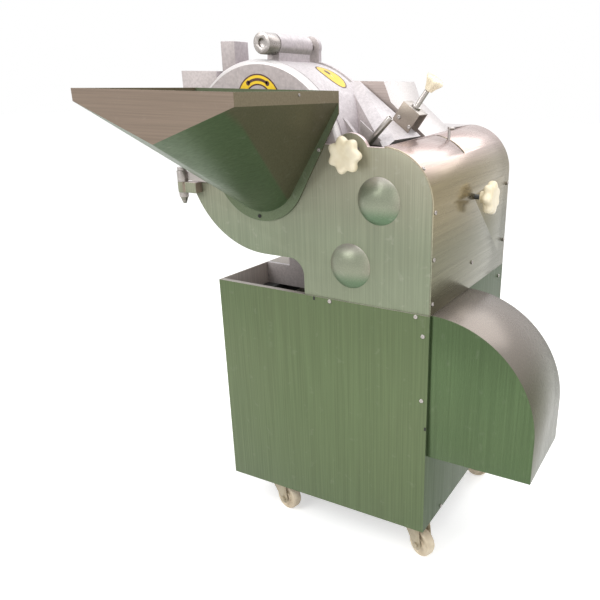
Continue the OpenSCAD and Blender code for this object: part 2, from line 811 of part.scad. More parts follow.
// Corners of the hopper's tray, its front point and its round outlet, as one convex solid
module hopper_solid(inset) {
    slice = 0.1;
    hull() {
        box([rim_x0 + inset, -hopper_reach + inset, band_z], [rim_x1 - inset, -flange_back, band_z + slice]);
        translate([point_x, -hopper_reach + inset, band_z - point_h + 1.5 * inset]) cube(slice);
        along_y(-flange_back - slice, -flange_back) intersection() {
            feed_outline(feed_r + sheet - inset, band_z, $fn = 48);
            translate([rim_x0 + inset, feed_z - drum_r]) square([rim_x1 - rim_x0 - 2 * inset, 2 * drum_r]);
        }
    }
}

// Feed hopper: folded rim band, leaning sheets and the flange with its round outlet
module hopper() color(steel) translate(mid_point) {
    difference() {
        hopper_solid(0);
        hopper_solid(sheet);
    }
    difference() {
        box([rim_x0, -hopper_reach, band_z], [rim_x1, -flange_y, rim_z]);
        box([rim_x0 + sheet, -hopper_reach + sheet, band_z - 1],
            [rim_x1 - sheet, -flange_back, rim_z + 1]);
    }
    along_y(-flange_back, -flange_y) difference() {
        intersection() {
            feed_outline(flange_r, band_z);
            translate([rim_x0, feed_z - drum_r]) square([rim_x1 - rim_x0, 2 * drum_r]);
        }
        translate([feed_x, feed_z]) circle(feed_r);
    }
}

// Strap and upper knuckle that carry the hopper
module hinge_arm() color(bright) translate(mid_point) difference() {
    union() {
        translate([hinge_x, -hinge_y, hinge_z + knuckle_h + 0.5]) cylinder(r = hinge_r, h = knuckle_h);
        box([hinge_x, -flange_back - strap_t, hinge_z + knuckle_h + 3],
            [feed_x - feed_r - strap_t, -flange_back, hinge_z + 2 * knuckle_h - 2]);
    }
    translate([hinge_x, -hinge_y, hinge_z]) cylinder(r = hinge_pin_r + fit, h = 3 * knuckle_h);
}

// Lower knuckle on the front plate's arm
module hinge_bracket() color(steel) translate(mid_point) difference() {
    union() {
        translate([hinge_x, -hinge_y, hinge_z]) cylinder(r = hinge_r, h = knuckle_h);
        box([hinge_x, -hinge_y - hinge_wall, hinge_z], [hinge_x + 46, 0, hinge_z + knuckle_h]);
    }
    translate([hinge_x, -hinge_y, hinge_z - 1]) cylinder(r = hinge_pin_r + fit, h = knuckle_h + 2);
}

// Hinge pin with a round head on top
module hinge_pin() color(bright) translate(mid_point) translate([hinge_x, -hinge_y, hinge_z - nut_h + 4]) {
    len = 2 * knuckle_h + nut_h + 1;
    cylinder(r = hinge_pin_r, h = len);
    translate([0, 0, len - 4]) cylinder(r = hinge_pin_r + 4, h = 8);
}

// Acorn nut under the lower knuckle
module hinge_nut() color(bright) translate(mid_point) translate([hinge_x, -hinge_y, hinge_z]) difference() {
    union() {
        translate([0, 0, -nut_h / 2]) cylinder(r = hinge_r - 1, h = nut_h / 2, $fn = 6);
        translate([0, 0, -nut_h - 4]) cylinder(r1 = 4, r2 = hinge_r - 3, h = nut_h / 2 + 4);
    }
    translate([0, 0, -nut_h + 4]) cylinder(r = hinge_pin_r + fit, h = nut_h);
}

// Star knob on the right cover
module side_knob() color(cream) translate(mid_point)
    translate([right, side_knob_y, cab_top + side_knob_rise]) rotate([0, 90, 0]) {
        translate([0, 0, side_stem + knob_boss]) star_knob();
        translate([0, 0, -20]) cylinder(r = stud_r, h = 20 + side_stem + 1);
    }

// Domed cover of a shaft's front bearing, along +z from its rim
module bearing_dome() {
    ball_r = (dome_r * dome_r + dome_h * dome_h) / (2 * dome_h);
    half = asin(dome_r / ball_r);
    steps = 10;
    function arc(r) = [for (i = [0:steps]) let (a = half * i / steps)
        [r * sin(a), r * cos(a) - ball_r + dome_h]];
    rotate_extrude() intersection() {
        difference() {
            polygon(concat([[0, -1]], arc(ball_r), [[dome_r, -1]]));
            polygon(concat([[0, -2]], arc(ball_r - sheet), [[dome_r - 2 * sheet, -2]]));
        }
        square(2 * dome_r);
    }
}

module upper_bearing_cover() color(steel) translate(mid_point)
    translate([cross_x, 0, cross_z]) rotate([90, 0, 0]) bearing_dome();

module lower_bearing_cover() color(steel) translate(mid_point)
    translate([disc_x, 0, disc_z]) rotate([90, 0, 0]) bearing_dome();

// Bearings of the two knife shafts, in the front plate and the mid plate
module shaft_bearings() color(bright) translate(mid_point)
    for (p = [[disc_x, disc_z], [cross_x, cross_z]], y = [0, mid_y])
        ring_y(p.x, p.y, bearing_r, shaft_r + fit, y, y + plate_t);

// Flanged housing that carries the impeller shaft
module bearing_housing() color(dark) translate(mid_point) {
    ring_y(drum_x, drum_z, housing_flange_r, imp_shaft_r + fit, mid_back, mid_back + plate_t);
    ring_y(drum_x, drum_z, imp_shaft_r + 26, imp_shaft_r + fit, mid_back + plate_t, mid_back + housing_len);
}

// Impeller with leaning paddles on a back disc
module impeller() color(bright) translate(mid_point) {
    tip = drum_in - imp_gap;
    back = mid_y - 2 * gap;
    front = plate_t + front_wall + 2 * gap;
    difference() {
        union() {
            bar_y(drum_x, drum_z, tip, back - 6, back);
            bar_y(drum_x, drum_z, imp_shaft_r + 18, back - 50, back);
            intersection() {
                bar_y(drum_x, drum_z, tip, front, back - 6);
                for (i = [0:paddle_count - 1])
                    translate([drum_x, 0, drum_z]) rotate([0, i * 360 / paddle_count, 0])
                        translate([feed_r + 2, 0, 0]) rotate([0, -paddle_lean, 0])
                            box([0, front, -3], [drum_r, back - 6, 3]);
            }
        }
        bar_y(drum_x, drum_z, imp_shaft_r + fit, front, mid_y);
    }
}

module impeller_shaft() color(bright) translate(mid_point)
    bar_y(drum_x, drum_z, imp_shaft_r, mid_y - 60, shaft_end);

// Pulley with a recessed web
module pulley(x, z, r, bore, y) {
    difference() {
        bar_y(x, z, r, y, y + belt_w);
        ring_y(x, z, r - 8, bore + 12, y - 1, y + belt_w / 3);
        bar_y(x, z, bore + fit, y - 1, y + belt_w + 1);
    }
}

module impeller_pulley() color(dark) translate(mid_point)
    pulley(drum_x, drum_z, imp_pulley_r, imp_shaft_r, imp_y);

// Flat loop round two pulleys
module belt(p0, r0, p1, r1, y) {
    module loop(extra) hull() {
        translate(p0) circle(r0 + extra, $fn = 96);
        translate(p1) circle(r1 + extra, $fn = 96);
    }
    along_y(y, y + belt_w) difference() {
        loop(belt_air + belt_t);
        loop(belt_air);
    }
}

module impeller_belt() color("#2b2b2b") translate(mid_point)
    belt([drum_x, drum_z], imp_pulley_r, [disc_x, disc_z], small_pulley_r, imp_y);

module drive_belt() color("#2b2b2b") translate(mid_point)
    belt([disc_x, disc_z], drive_pulley_r, [motor_x, motor_z], motor_pulley_r, drive_y);

// Slicing blade on the knife seat, bevelled to its edge
module slice_knife() color(bright) translate(mid_point)
    translate([drum_x, 0, drum_z]) rotate([0, -knife_angle, 0])
        translate([drum_r + knife_lift, 0, 0]) along_y(plate_t + front_wall + gap, mid_y - gap)
            polygon([[0, -knife_seat], [4, -knife_seat], [4, knife_seat / 2 + 10], [0, knife_seat / 2 + 22]]);

// Crosscut rotor on its shaft, slotted for the knives
module crosscut_rotor() color(bright) translate(mid_point) difference() {
    union() {
        bar_y(cross_x, cross_z, shaft_r, -shaft_nose, gear_y + gear_w + 4);
        bar_y(cross_x, cross_z, cross_hub, cutter_y0, cutter_y1);
    }
    crosscut_blades(cutter_y0 - 1, cutter_y1 + 1);
}

// Radial blades of the crosscut rotor
module crosscut_blades(y0, y1) {
    for (i = [0:cross_count - 1])
        translate([cross_x, 0, cross_z]) rotate([0, i * 360 / cross_count, 0])
            box([cross_hub - 14, y0, -2], [cross_r, y1, 2]);
}

module crosscut_knives() color(bright) translate(mid_point) crosscut_blades(cutter_y0, cutter_y1);

// Involute gear outline: angle swept by the involute at a radius, and half a tooth's angle there
function involute(r, base) = let (a = acos(base / r)) tan(a) * 180 / PI - a;
function half_tooth(r, n, pitch, base) = 90 / n - gear_play / pitch + involute(pitch, base) - involute(r, base);

module gear_outline(n) {
    pitch = gear_m * n / 2;
    base = pitch * cos(20);
    root = pitch - 1.25 * gear_m;
    low = max(base, root + 0.1) + 0.01;
    tip = pitch + 0.95 * gear_m;
    steps = 3;
    flank = [for (i = [0:steps]) low + (tip - low) * i / steps];
    polygon([for (t = [0:n - 1]) let (mid = t * 360 / n, h = half_tooth(low, n, pitch, base)) each concat(
        [root * [cos(mid - h), sin(mid - h)]],
        [for (r = flank) let (a = mid - half_tooth(r, n, pitch, base)) r * [cos(a), sin(a)]],
        [for (i = [steps:-1:0]) let (r = flank[i], a = mid + half_tooth(r, n, pitch, base)) r * [cos(a), sin(a)]],
        [root * [cos(mid + h), sin(mid + h)]])]);
}

// Gear on a shaft with one tooth or gap turned towards an angle
module gear(x, z, n, turn) {
    difference() {
        along_y(gear_y, gear_y + gear_w) translate([x, z]) rotate(turn) gear_outline(n);
        bar_y(x, z, shaft_r + fit, gear_y - 1, gear_y + gear_w + 1);
    }
}

module crosscut_gear() color(dark) translate(mid_point)
    gear(cross_x, cross_z, cross_teeth, mesh_angle + 180 + 180 / cross_teeth);

// Gear and two pulleys keyed to the disc knife shaft
module disc_drive() color(dark) translate(mid_point) {
    gear(disc_x, disc_z, disc_teeth, mesh_angle);
    pulley(disc_x, disc_z, drive_pulley_r, shaft_r, drive_y);
    pulley(disc_x, disc_z, small_pulley_r, shaft_r, imp_y);
}

// Disc knife shaft with the spacers between the knives
module disc_shaft() color(bright) translate(mid_point) {
    bar_y(disc_x, disc_z, shaft_r, -shaft_nose, shaft_end);
    for (i = [0:disc_count - 2])
        bar_y(disc_x, disc_z, spacer_r, disc_y0 + i * disc_pitch + disc_t, disc_y0 + (i + 1) * disc_pitch);
}

module disc_knives() color(bright) translate(mid_point)
    for (i = [0:disc_count - 1])
        ring_y(disc_x, disc_z, disc_r, shaft_r + fit, disc_y0 + i * disc_pitch, disc_y0 + i * disc_pitch + disc_t);

// Comb that strips the dice from between the disc knives
module stripper_comb() color(bright) translate(mid_point) {
    x0 = body_left + 8;
    z0 = disc_z - comb_drop;
    tip_x = disc_x - spacer_r - comb_air;
    root_x = x0 + comb_bar.x - 1;
    along_y(plate_t, mid_y) translate([x0, z0]) square(comb_bar);
    for (i = [0:disc_count - 2]) {
        y0 = disc_y0 + i * disc_pitch + (disc_pitch + disc_t - comb_w) / 2;
        along_y(y0, y0 + comb_w) polygon([[root_x, z0], [tip_x, disc_z - 16], [tip_x, disc_z + comb_air],
            [root_x, z0 + comb_bar.y - 2]]);
    }
}

// Foot-mounted motor with ribs and a fan cowl
module motor() color("#4f6f8c") translate(mid_point) difference() {
    union() {
        translate([motor_x, 0, motor_z]) rotate([-90, 0, 0]) rotate_extrude()
            polygon([[0, motor_y0], [motor_r - 4, motor_y0], [motor_r, motor_y0 + 4], [motor_r, motor_y0 + cowl_d],
                [motor_r - fin_h, motor_y0 + cowl_d], [motor_r - fin_h, motor_y1 - bell_d],
                [motor_r, motor_y1 - bell_d], [motor_r, motor_y1], [0, motor_y1]]);
        for (i = [0:11]) translate([motor_x, 0, motor_z]) rotate([0, i * 30 + 15, 0])
            box([motor_r / 2, motor_y0 + cowl_d - 1, -2], [motor_r - 1, motor_y1 - bell_d + 1, 2]);
        box([right + mount_t, motor_y0 + cowl_d + fin_h, motor_z - motor_foot],
            [motor_x - motor_r / 2, motor_y1 - bell_d - fin_h, motor_z + motor_foot]);
    }
    bar_y(motor_x, motor_z, motor_shaft_r + fit, motor_y1 - 30, motor_y1 + 1);
}

// Plate that carries the motor on the right panel
module motor_mount() color(dark) translate(mid_point)
    box([right, motor_y0 + 30, motor_z - motor_foot - 16],
        [right + mount_t, motor_y1 - 8, motor_z + motor_foot + 4]);

// Motor pulley on its shaft stub
module motor_pulley() color(dark) translate(mid_point) {
    pulley(motor_x, motor_z, motor_pulley_r, motor_shaft_r, drive_y);
    bar_y(motor_x, motor_z, motor_shaft_r, motor_y1 - 28, drive_y + belt_w);
}

// Outline of the motor cover: a quarter round over a straight skirt
module guard_outline(inset) {
    r = guard_r - inset;
    translate([right, guard_z]) intersection() {
        circle(r, $fn = 128);
        square(r);
    }
    translate([right, guard_z - guard_drop]) square([r, guard_drop + 1]);
}

// Motor cover, open below and towards the cabinet
module motor_cover() color(steel) translate(mid_point) difference() {
    along_y(guard_y, guard_y1) guard_outline(0);
    along_y(guard_y + sheet, guard_y1 - sheet) union() {
        guard_outline(sheet);
        translate([right - 1, guard_z - guard_drop - 1]) square([guard_r - sheet + 1, guard_drop]);
    }
    box([right - 1, guard_y + sheet, guard_z - guard_drop], [right + 1, guard_y1 - sheet, cab_top - sheet]);
}

// Top plates of the casters
module caster_plates() color(bright) translate(mid_point)
    for (p = caster_at) difference() {
        translate([p.x - caster_plate / 2, p.y - caster_plate / 2, cab_lift - caster_t])
            cube([caster_plate, caster_plate, caster_t]);
        translate([p.x, p.y, cab_lift - caster_t - 1]) cylinder(r = king_r + fit, h = caster_t + 2);
    }

// Swivel fork with its king pin and axle, trailing along +x before it is turned
module fork(i) color(bright) translate(mid_point) translate([caster_at[i].x, caster_at[i].y, 0])
    rotate(rest_turn[i]) {
        top = cab_lift - caster_t - 0.3;
        side = wheel_w / 2 + wheel_gap;
        translate([0, 0, top - fork_head]) cylinder(r = side + fork_t, h = fork_head);
        translate([0, 0, top - 1]) cylinder(r = king_r, h = caster_t);
        for (s = [-1, 1]) along_y(s * (side + fork_t / 2) - fork_t / 2, s * (side + fork_t / 2) + fork_t / 2)
            union() {
                polygon([[-side * 0.9, top], [side * 0.9, top], [trail + 11, wheel_r], [trail - 11, wheel_r]]);
                translate([trail, wheel_r]) circle(11);
            }
        bar_y(trail, wheel_r, axle_r, -side - fork_t - 2, side + fork_t + 2);
    }

// Caster wheel with a crowned tread and hub
module wheel(i) color(cream) translate(mid_point) translate([caster_at[i].x, caster_at[i].y, 0])
    rotate(rest_turn[i]) translate([trail, 0, wheel_r]) rotate([90, 0, 0]) difference() {
        rotate_extrude() polygon([[axle_r + fit, -wheel_w / 2], [14, -wheel_w / 2], [16, -wheel_w / 2 + 4],
            [wheel_r - 10, -wheel_w / 2 + 4], [wheel_r - 7, -wheel_w / 2 + 1], [wheel_r - 3, -wheel_w / 2 + 1],
            [wheel_r, -wheel_w / 4], [wheel_r, wheel_w / 4], [wheel_r - 3, wheel_w / 2 - 1],
            [wheel_r - 7, wheel_w / 2 - 1], [wheel_r - 10, wheel_w / 2 - 4], [16, wheel_w / 2 - 4],
            [14, wheel_w / 2], [axle_r + fit, wheel_w / 2]]);
        cylinder(r = axle_r + fit, h = 2 * wheel_w, center = true);
    }

module fork_fl() fork(0);
module fork_fr() fork(1);
module fork_rl() fork(2);
module fork_rr() fork(3);
module wheel_fl() wheel(0);
module wheel_fr() wheel(1);
module wheel_rl() wheel(2);
module wheel_rr() wheel(3);

base_frame();
front_panel();
right_panel();
left_panel();
back_panel();
top_panel();
discharge_chute();
front_plate();
mid_plate();
rear_plate();
tie_bars();
curved_cover();
rear_hood();
gear_cover();
drum_case();
case_lug();
slice_gate();
gate_hinge_pin();
adjuster_bracket();
adjuster_screw();
adjuster_knob();
lock_lever();
lock_knob();
pointer_pin();
hopper();
hinge_arm();
hinge_bracket();
hinge_pin();
hinge_nut();
side_knob();
upper_bearing_cover();
lower_bearing_cover();
shaft_bearings();
bearing_housing();
impeller();
impeller_shaft();
impeller_pulley();
impeller_belt();
slice_knife();
crosscut_rotor();
crosscut_knives();
crosscut_gear();
disc_shaft();
disc_knives();
disc_drive();
stripper_comb();
motor();
motor_mount();
motor_pulley();
drive_belt();
motor_cover();
caster_plates();
fork_fl();
fork_fr();
fork_rl();
fork_rr();
wheel_fl();
wheel_fr();
wheel_rl();
wheel_rr();
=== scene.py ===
"""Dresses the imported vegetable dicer: finishes, small fittings, stage, light and camera."""

from __future__ import annotations

import json
import logging
import math
from dataclasses import dataclass, field
from enum import Enum
from typing import Callable, Sequence

import bmesh
import bpy
from bpy.types import Material, Node, NodeSocket, NodeTree, Object
from mathutils import Matrix, Vector

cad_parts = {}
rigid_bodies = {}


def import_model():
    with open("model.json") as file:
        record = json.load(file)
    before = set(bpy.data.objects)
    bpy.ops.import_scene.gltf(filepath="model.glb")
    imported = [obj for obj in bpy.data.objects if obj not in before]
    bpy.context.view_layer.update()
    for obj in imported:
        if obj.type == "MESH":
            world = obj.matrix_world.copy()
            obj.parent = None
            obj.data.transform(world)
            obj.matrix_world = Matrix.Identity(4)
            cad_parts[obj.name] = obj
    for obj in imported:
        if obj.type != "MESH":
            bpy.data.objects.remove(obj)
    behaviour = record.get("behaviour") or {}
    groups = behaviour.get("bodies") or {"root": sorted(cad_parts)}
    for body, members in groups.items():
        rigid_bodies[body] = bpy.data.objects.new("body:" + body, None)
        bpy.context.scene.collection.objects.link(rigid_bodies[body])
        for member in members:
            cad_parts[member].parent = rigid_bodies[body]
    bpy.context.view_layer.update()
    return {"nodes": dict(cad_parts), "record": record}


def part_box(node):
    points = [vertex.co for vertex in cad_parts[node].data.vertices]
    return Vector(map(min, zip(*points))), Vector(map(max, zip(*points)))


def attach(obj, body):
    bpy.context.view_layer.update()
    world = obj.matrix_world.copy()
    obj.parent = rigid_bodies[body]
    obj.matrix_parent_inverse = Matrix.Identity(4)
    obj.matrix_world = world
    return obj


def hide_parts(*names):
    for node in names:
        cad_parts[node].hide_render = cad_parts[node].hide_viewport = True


LOG = logging.getLogger("dicer")
IMAGE_PX = 600.0
SENSOR_MM = 36.0
MM_PER_M = 1000.0
ORIGIN_MM = Vector((83.0, 88.5, 0.0))
Colour = tuple[float, float, float]
Screen = tuple[int, int, int]
Pairs = tuple[tuple[float, float], ...]
FACING_LIGHT_NAMES = ("Front", "Side", "Left", "Up", "Under", "Lee")
# Places in cabinet millimetres
DRUM_X, DRUM_Z, DRUM_R = -148.0, 1000.0, 219.0
SHOULDER_X, SHOULDER_Z, SHOULDER_R = 182.0, 930.0, 118.0
SIDE_X, BACK_Y, PANEL_Y, FLANGE_Y = 300.0, 515.0, -3.0, -3.5
# Ways that a face can look
FRONT, RIGHT, BACK, LEFT = (0, -1, 0), (1, 0, 0), (0, 1, 0), (-1, 0, 0)
# Nodes that don't have their slot's usual finish
NODES_BY_FINISH = {
    "cabinet_sheet": ("front_panel", "right_panel", "back_panel", "top_panel"),
    "inner_wall_sheet": ("left_panel",),
    "front_plate_sheet": ("front_plate", "rear_plate", "hinge_bracket"),
    "cast_alloy": ("mid_plate",),
    "round_cover_sheet": ("curved_cover",),
    "gear_cover_sheet": ("rear_hood", "gear_cover"),
    "motor_cover_sheet": ("motor_cover",),
    "hopper_sheet": ("hopper",),
    "dome_sheet": ("upper_bearing_cover", "lower_bearing_cover"),
    "bracket_sheet": ("adjuster_bracket",),
    "motor_paint": ("motor",),
    "caster_paint": ("caster_plates", "fork_fl", "fork_fr", "fork_rl", "fork_rr"),
    "caster_tread": ("wheel_fl", "wheel_fr", "wheel_rl", "wheel_rr"),
}


def at(x: float, y: float, z: float) -> Vector:
    """Turns cabinet millimetres, from its front's middle on the floor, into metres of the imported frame."""
    return (Vector((x, y, z)) - ORIGIN_MM) / MM_PER_M


def mm(value: float) -> float:
    """Millimetres to metres."""
    return value / MM_PER_M


def linear(screen: Screen) -> Colour:
    """Turns a colour as seen on screen, 0 to 255, into the linear one of a shader."""
    shares = (value / 255.0 for value in screen)
    return tuple(share / 12.92 if share <= 0.04045 else ((share + 0.055) / 1.055) ** 2.4 for share in shares)


class Body(str, Enum):
    """Moving groups that pieces ride on."""

    MACHINE = "machine"
    GATE = "gate"
    ADJUSTER = "adjuster"
    LOCK = "lock"
    DOOR = "door"
    COVER_KNOB = "cover_knob"


class Slot(str, Enum):
    """Material slots of the record."""

    SHEET = "sheet_steel"
    BRIGHT = "bright_steel"
    CAST = "cast_alloy"
    KNOB = "knob_plastic"
    DARK = "dark_metal"
    MOTOR = "motor_paint"
    RUBBER = "rubber"


class Graph:
    """Short hand for adding and joining shader nodes."""

    def __init__(self, tree: NodeTree) -> None:
        """Keeps the tree that nodes go into."""
        self.tree = tree

    def add(self, kind: str, **values: object) -> Node:
        """Adds a node.

        Args:
            kind: the node's type without its prefix.
            values: properties or inputs by name.

        Returns:
            The new node.
        """
        node = self.tree.nodes.new(kind if kind.startswith("NodeGroup") else "ShaderNode" + kind)
        for key, value in values.items():
            if hasattr(node, key):
                setattr(node, key, value)
            else:
                node.inputs[key].default_value = value
        return node

    def join(self, source: NodeSocket, target: NodeSocket) -> None:
        """Links one socket to another."""
        self.tree.links.new(source, target)

    def feed(self, value: object, target: NodeSocket) -> None:
        """Links a socket to an input, or sets the input.

        Args:
            value: a socket, a number or a colour.
            target: the input.
        """
        if isinstance(value, NodeSocket):
            self.join(value, target)
        else:
            target.default_value = value if isinstance(value, float) else (*value, 1.0)

    def math(self, how: str, first: object, second: object = 0.0) -> NodeSocket:
        """Adds a math node.

        Args:
            how: the operation.
            first: a socket or a number.
            second: a socket or a number.

        Returns:
            The result's socket.
        """
        node = self.add("Math", operation=how)
        for socket, value in zip(node.inputs, (first, second)):
            self.feed(value, socket)
        return node.outputs[0]

    def span(self, value: NodeSocket, low: float, high: float, to_low: float = 0.0,
             to_high: float = 1.0) -> NodeSocket:
        """Maps a range smoothly onto another.

        Args:
            value: the socket to map.
            low: start of the range.
            high: end of the range.
            to_low: result at the start.
            to_high: result at the end.

        Returns:
            The mapped socket.
        """
        node = self.add("MapRange", interpolation_type="SMOOTHSTEP")
        self.join(value, node.inputs["Value"])
        for name, number in (("From Min", low), ("From Max", high), ("To Min", to_low), ("To Max", to_high)):
            node.inputs[name].default_value = number
        return node.outputs["Result"]

    def blend(self, factor: object, first: object, second: object, how: str = "MIX") -> NodeSocket:
        """Mixes two colours.

        Args:
            factor: a socket or a number.
            first: a socket or a colour.
            second: a socket or a colour.
            how: the blend type.

        Returns:
            The mixed colour's socket.
        """
        node = self.add("Mix", data_type="RGBA", blend_type=how)
        for index, value in ((0, factor), (6, first), (7, second)):
            self.feed(value, node.inputs[index])
        return node.outputs[2]

    def bump(self, height: NodeSocket, strength: float, depth: float, surface: Node) -> None:
        """Roughens a surface by a height.

        Args:
            height: the height's socket.
            strength: share of the bump.
            depth: in millimetres.
            surface: the shader that takes the normal.
        """
        node = self.add("Bump", Strength=strength, Distance=mm(depth))
        self.join(height, node.inputs["Height"])
        self.join(node.outputs["Normal"], surface.inputs["Normal"])

    def seen(self) -> NodeSocket:
        """Tells the rays that see the background from those that only light.

        Returns:
            One for a ray from the camera, from gloss or through glass.
        """
        path = self.add("LightPath")
        near = self.math("MAXIMUM", path.outputs["Is Camera Ray"], path.outputs["Is Glossy Ray"])
        return self.math("MAXIMUM", near, path.outputs["Is Transmission Ray"])


def new_group(name: str, inputs: dict[str, str], outputs: dict[str, str]) -> tuple[Graph, Node, Node]:
    """Starts a shader node group.

    Args:
        name: its name.
        inputs: kind of each input's socket, by name.
        outputs: kind of each output's socket, by name.

    Returns:
        The graph and its two ends.
    """
    tree = bpy.data.node_groups.new(name, "ShaderNodeTree")
    for way, sockets in (("INPUT", inputs), ("OUTPUT", outputs)):
        for label, kind in sockets.items():
            tree.interface.new_socket(label, in_out=way, socket_type="NodeSocket" + kind)
    graph = Graph(tree)
    return graph, graph.add("NodeGroupInput"), graph.add("NodeGroupOutput")


def new_material(name: str) -> tuple[Material, Graph, Node]:
    """Starts a material.

    Args:
        name: its name.

    Returns:
        The material, its graph and its surface shader.
    """
    material = bpy.data.materials.new(name)
    material.use_nodes = True
    return material, Graph(material.node_tree), material.node_tree.nodes["Principled BSDF"]


class Effects:
    """Shared surface effects, each a node group built once."""

    def __init__(self) -> None:
        """Builds every group."""
        self.brush = self._brush()
        self.smudge = self._smudge()
        # Painted light, shade and reflection by the way a face looks.
        self.tone = self._painted_facing_light_group()

    @staticmethod
    def _brush() -> NodeTree:
        """Fine parallel lines of brushed sheet.

        Returns:
            The group, which puts out a line value round one half.
        """
        graph, start, end = new_group("brushed_lines", {"Stretch": "Vector"}, {"Line": "Float"})
        place = graph.add("TexCoord")
        turn = graph.add("Mapping")
        graph.join(place.outputs["Object"], turn.inputs["Vector"])
        graph.join(start.outputs["Stretch"], turn.inputs["Scale"])
        fine = graph.add("TexNoise", Scale=1.0, Detail=4.0, Roughness=0.65)
        graph.join(turn.outputs["Vector"], fine.inputs["Vector"])
        graph.join(fine.outputs["Fac"], end.inputs["Line"])
        return graph.tree

    @staticmethod
    def _smudge() -> NodeTree:
        """Soft wiped patches and small spots.

        Returns:
            The group, with a patch mask and a spot mask.
        """
        masks = dict.fromkeys(("Patch", "Spot"), "Float")
        graph, start, end = new_group("wiped_patches", {"Scale": "Float"}, masks)
        place = graph.add("TexCoord")
        for label, times, low, high in (("Patch", 1.0, 0.42, 0.68), ("Spot", 14.0, 0.62, 0.74)):
            noise = graph.add("TexNoise", Detail=3.0, Roughness=0.55, Distortion=0.4)
            graph.join(place.outputs["Object"], noise.inputs["Vector"])
            graph.join(graph.math("MULTIPLY", start.outputs["Scale"], times), noise.inputs["Scale"])
            graph.join(graph.span(noise.outputs["Fac"], low, high), end.inputs[label])
        return graph.tree

    @staticmethod
    def _painted_facing_light_group() -> NodeTree:
        """Painted light, shade and reflection on sheet metal, chosen by the way a face looks.

        Returns:
            The group, which puts out the colour.
        """
        graph, start, end = new_group("painted_facing_light", dict.fromkeys(FACING_LIGHT_NAMES, "Color"), {"Color": "Color"})
        place = graph.add("TexCoord")
        parts = graph.add("SeparateXYZ")
        graph.join(place.outputs["Normal"], parts.inputs[0])
        across, rise = parts.outputs["X"], parts.outputs["Z"]
        # Side faces get their own painted shade, right and left apart.
        side = graph.blend(graph.span(across, -0.1, 0.1), start.outputs["Left"], start.outputs["Side"])
        # Painted shade on down faces that look strongly to the right.
        lee_shade = graph.span(across, 0.68, 0.74)
        # Painted reflection on faces that look down.
        under = graph.span(graph.math("MULTIPLY", rise, -1.0), 0.08, 0.5)
        below = graph.blend(lee_shade, start.outputs["Under"], start.outputs["Lee"])
        aside = graph.span(graph.math("ABSOLUTE", across), 0.35, 0.8)
        colour = graph.blend(aside, start.outputs["Front"], side)
        # Painted highlight: faces that look up are lighter.
        colour = graph.blend(graph.span(rise, 0.3, 0.85), colour, start.outputs["Up"])
        graph.join(graph.blend(under, colour, below), end.inputs["Color"])
        return graph.tree


@dataclass(frozen=True)
class FacingLightColours:
    """Colours of painted light, shade and reflection on a finish, by the way a face looks."""

    front: Screen
    side: Screen
    up: Screen
    under: Screen
    left: Screen | None = None
    lee_shade: Screen | None = None

    def named(self) -> dict[str, tuple[float, ...]]:
        """Gives the colour of each input of the painted facing light group."""
        shades = (self.front, self.side, self.left or self.side, self.up, self.under, self.lee_shade or self.under)
        return {label: (*linear(shade), 1.0) for label, shade in zip(FACING_LIGHT_NAMES, shades)}


@dataclass(frozen=True)
class PaintedHeightSheen:
    """Painted sheen along the height: the colour is multiplied lighter towards the top, in place of reflected
    light.
    """

    times: Colour
    low: float
    high: float

    def apply(self, graph: Graph, colour: NodeSocket) -> NodeSocket:
        """Multiplies a colour by the painted sheen.

        Args:
            graph: the material's graph.
            colour: the colour before it.

        Returns:
            The socket of the colour with the painted sheen.
        """
        place = graph.add("TexCoord")
        parts = graph.add("SeparateXYZ")
        graph.join(place.outputs["Object"], parts.inputs[0])
        share = graph.span(parts.outputs["Z"], self.low, self.high)
        return graph.blend(share, colour, graph.blend(1.0, colour, self.times, "MULTIPLY"))


@dataclass(frozen=True)
class Metal:
    """Brushed or cast metal."""

    name: str
    facing_light_colours: FacingLightColours
    metallic: float
    roughness: tuple[float, float]
    stretch: tuple[float, float, float]
    line_bump: float
    # Painted sheen along the height, if any.
    lift: PaintedHeightSheen | None = None
    patch_share: float = 0.12
    patch_colour: Screen = (120, 112, 96)
    patch_scale: float = 3.0
    spot_colour: Screen = (226, 222, 212)
    spot_part: float = 0.6
    line_dark: float = 0.22
    patch_rough: float = 0.5
    specular: float = 0.2

    def build(self, effects: Effects) -> Material:
        """Makes the material.

        Args:
            effects: the shared groups.

        Returns:
            The material.
        """
        material, graph, surface = new_material(self.name)
        surface.inputs["Metallic"].default_value = self.metallic
        surface.inputs["Specular IOR Level"].default_value = self.specular
        # Base colour with painted light, shade and reflection by facing.
        base = graph.add("Group", node_tree=effects.tone, **self.facing_light_colours.named()).outputs["Color"]
        # Painted sheen, lighter towards the top.
        if self.lift:
            base = self.lift.apply(graph, base)
        brush = graph.add("Group", node_tree=effects.brush, Stretch=self.stretch)
        smudge = graph.add("Group", node_tree=effects.smudge, Scale=self.patch_scale)
        line = brush.outputs["Line"]
        lit = graph.blend(graph.span(line, 0.25, 0.75, 0.0, self.line_dark), base, (0.0, 0.0, 0.0))
        patch = graph.math("MULTIPLY", smudge.outputs["Patch"], self.patch_share)
        colour = graph.blend(patch, lit, linear(self.patch_colour))
        spot = graph.math("MULTIPLY", smudge.outputs["Spot"], self.patch_share * self.spot_part)
        colour = graph.blend(spot, colour, linear(self.spot_colour))
        graph.join(colour, surface.inputs["Base Color"])
        rough = graph.span(line, 0.2, 0.8, *self.roughness)
        rough = graph.math("ADD", rough, graph.math("MULTIPLY", patch, self.patch_rough))
        graph.join(rough, surface.inputs["Roughness"])
        graph.bump(line, self.line_bump, 0.4, surface)
        return material


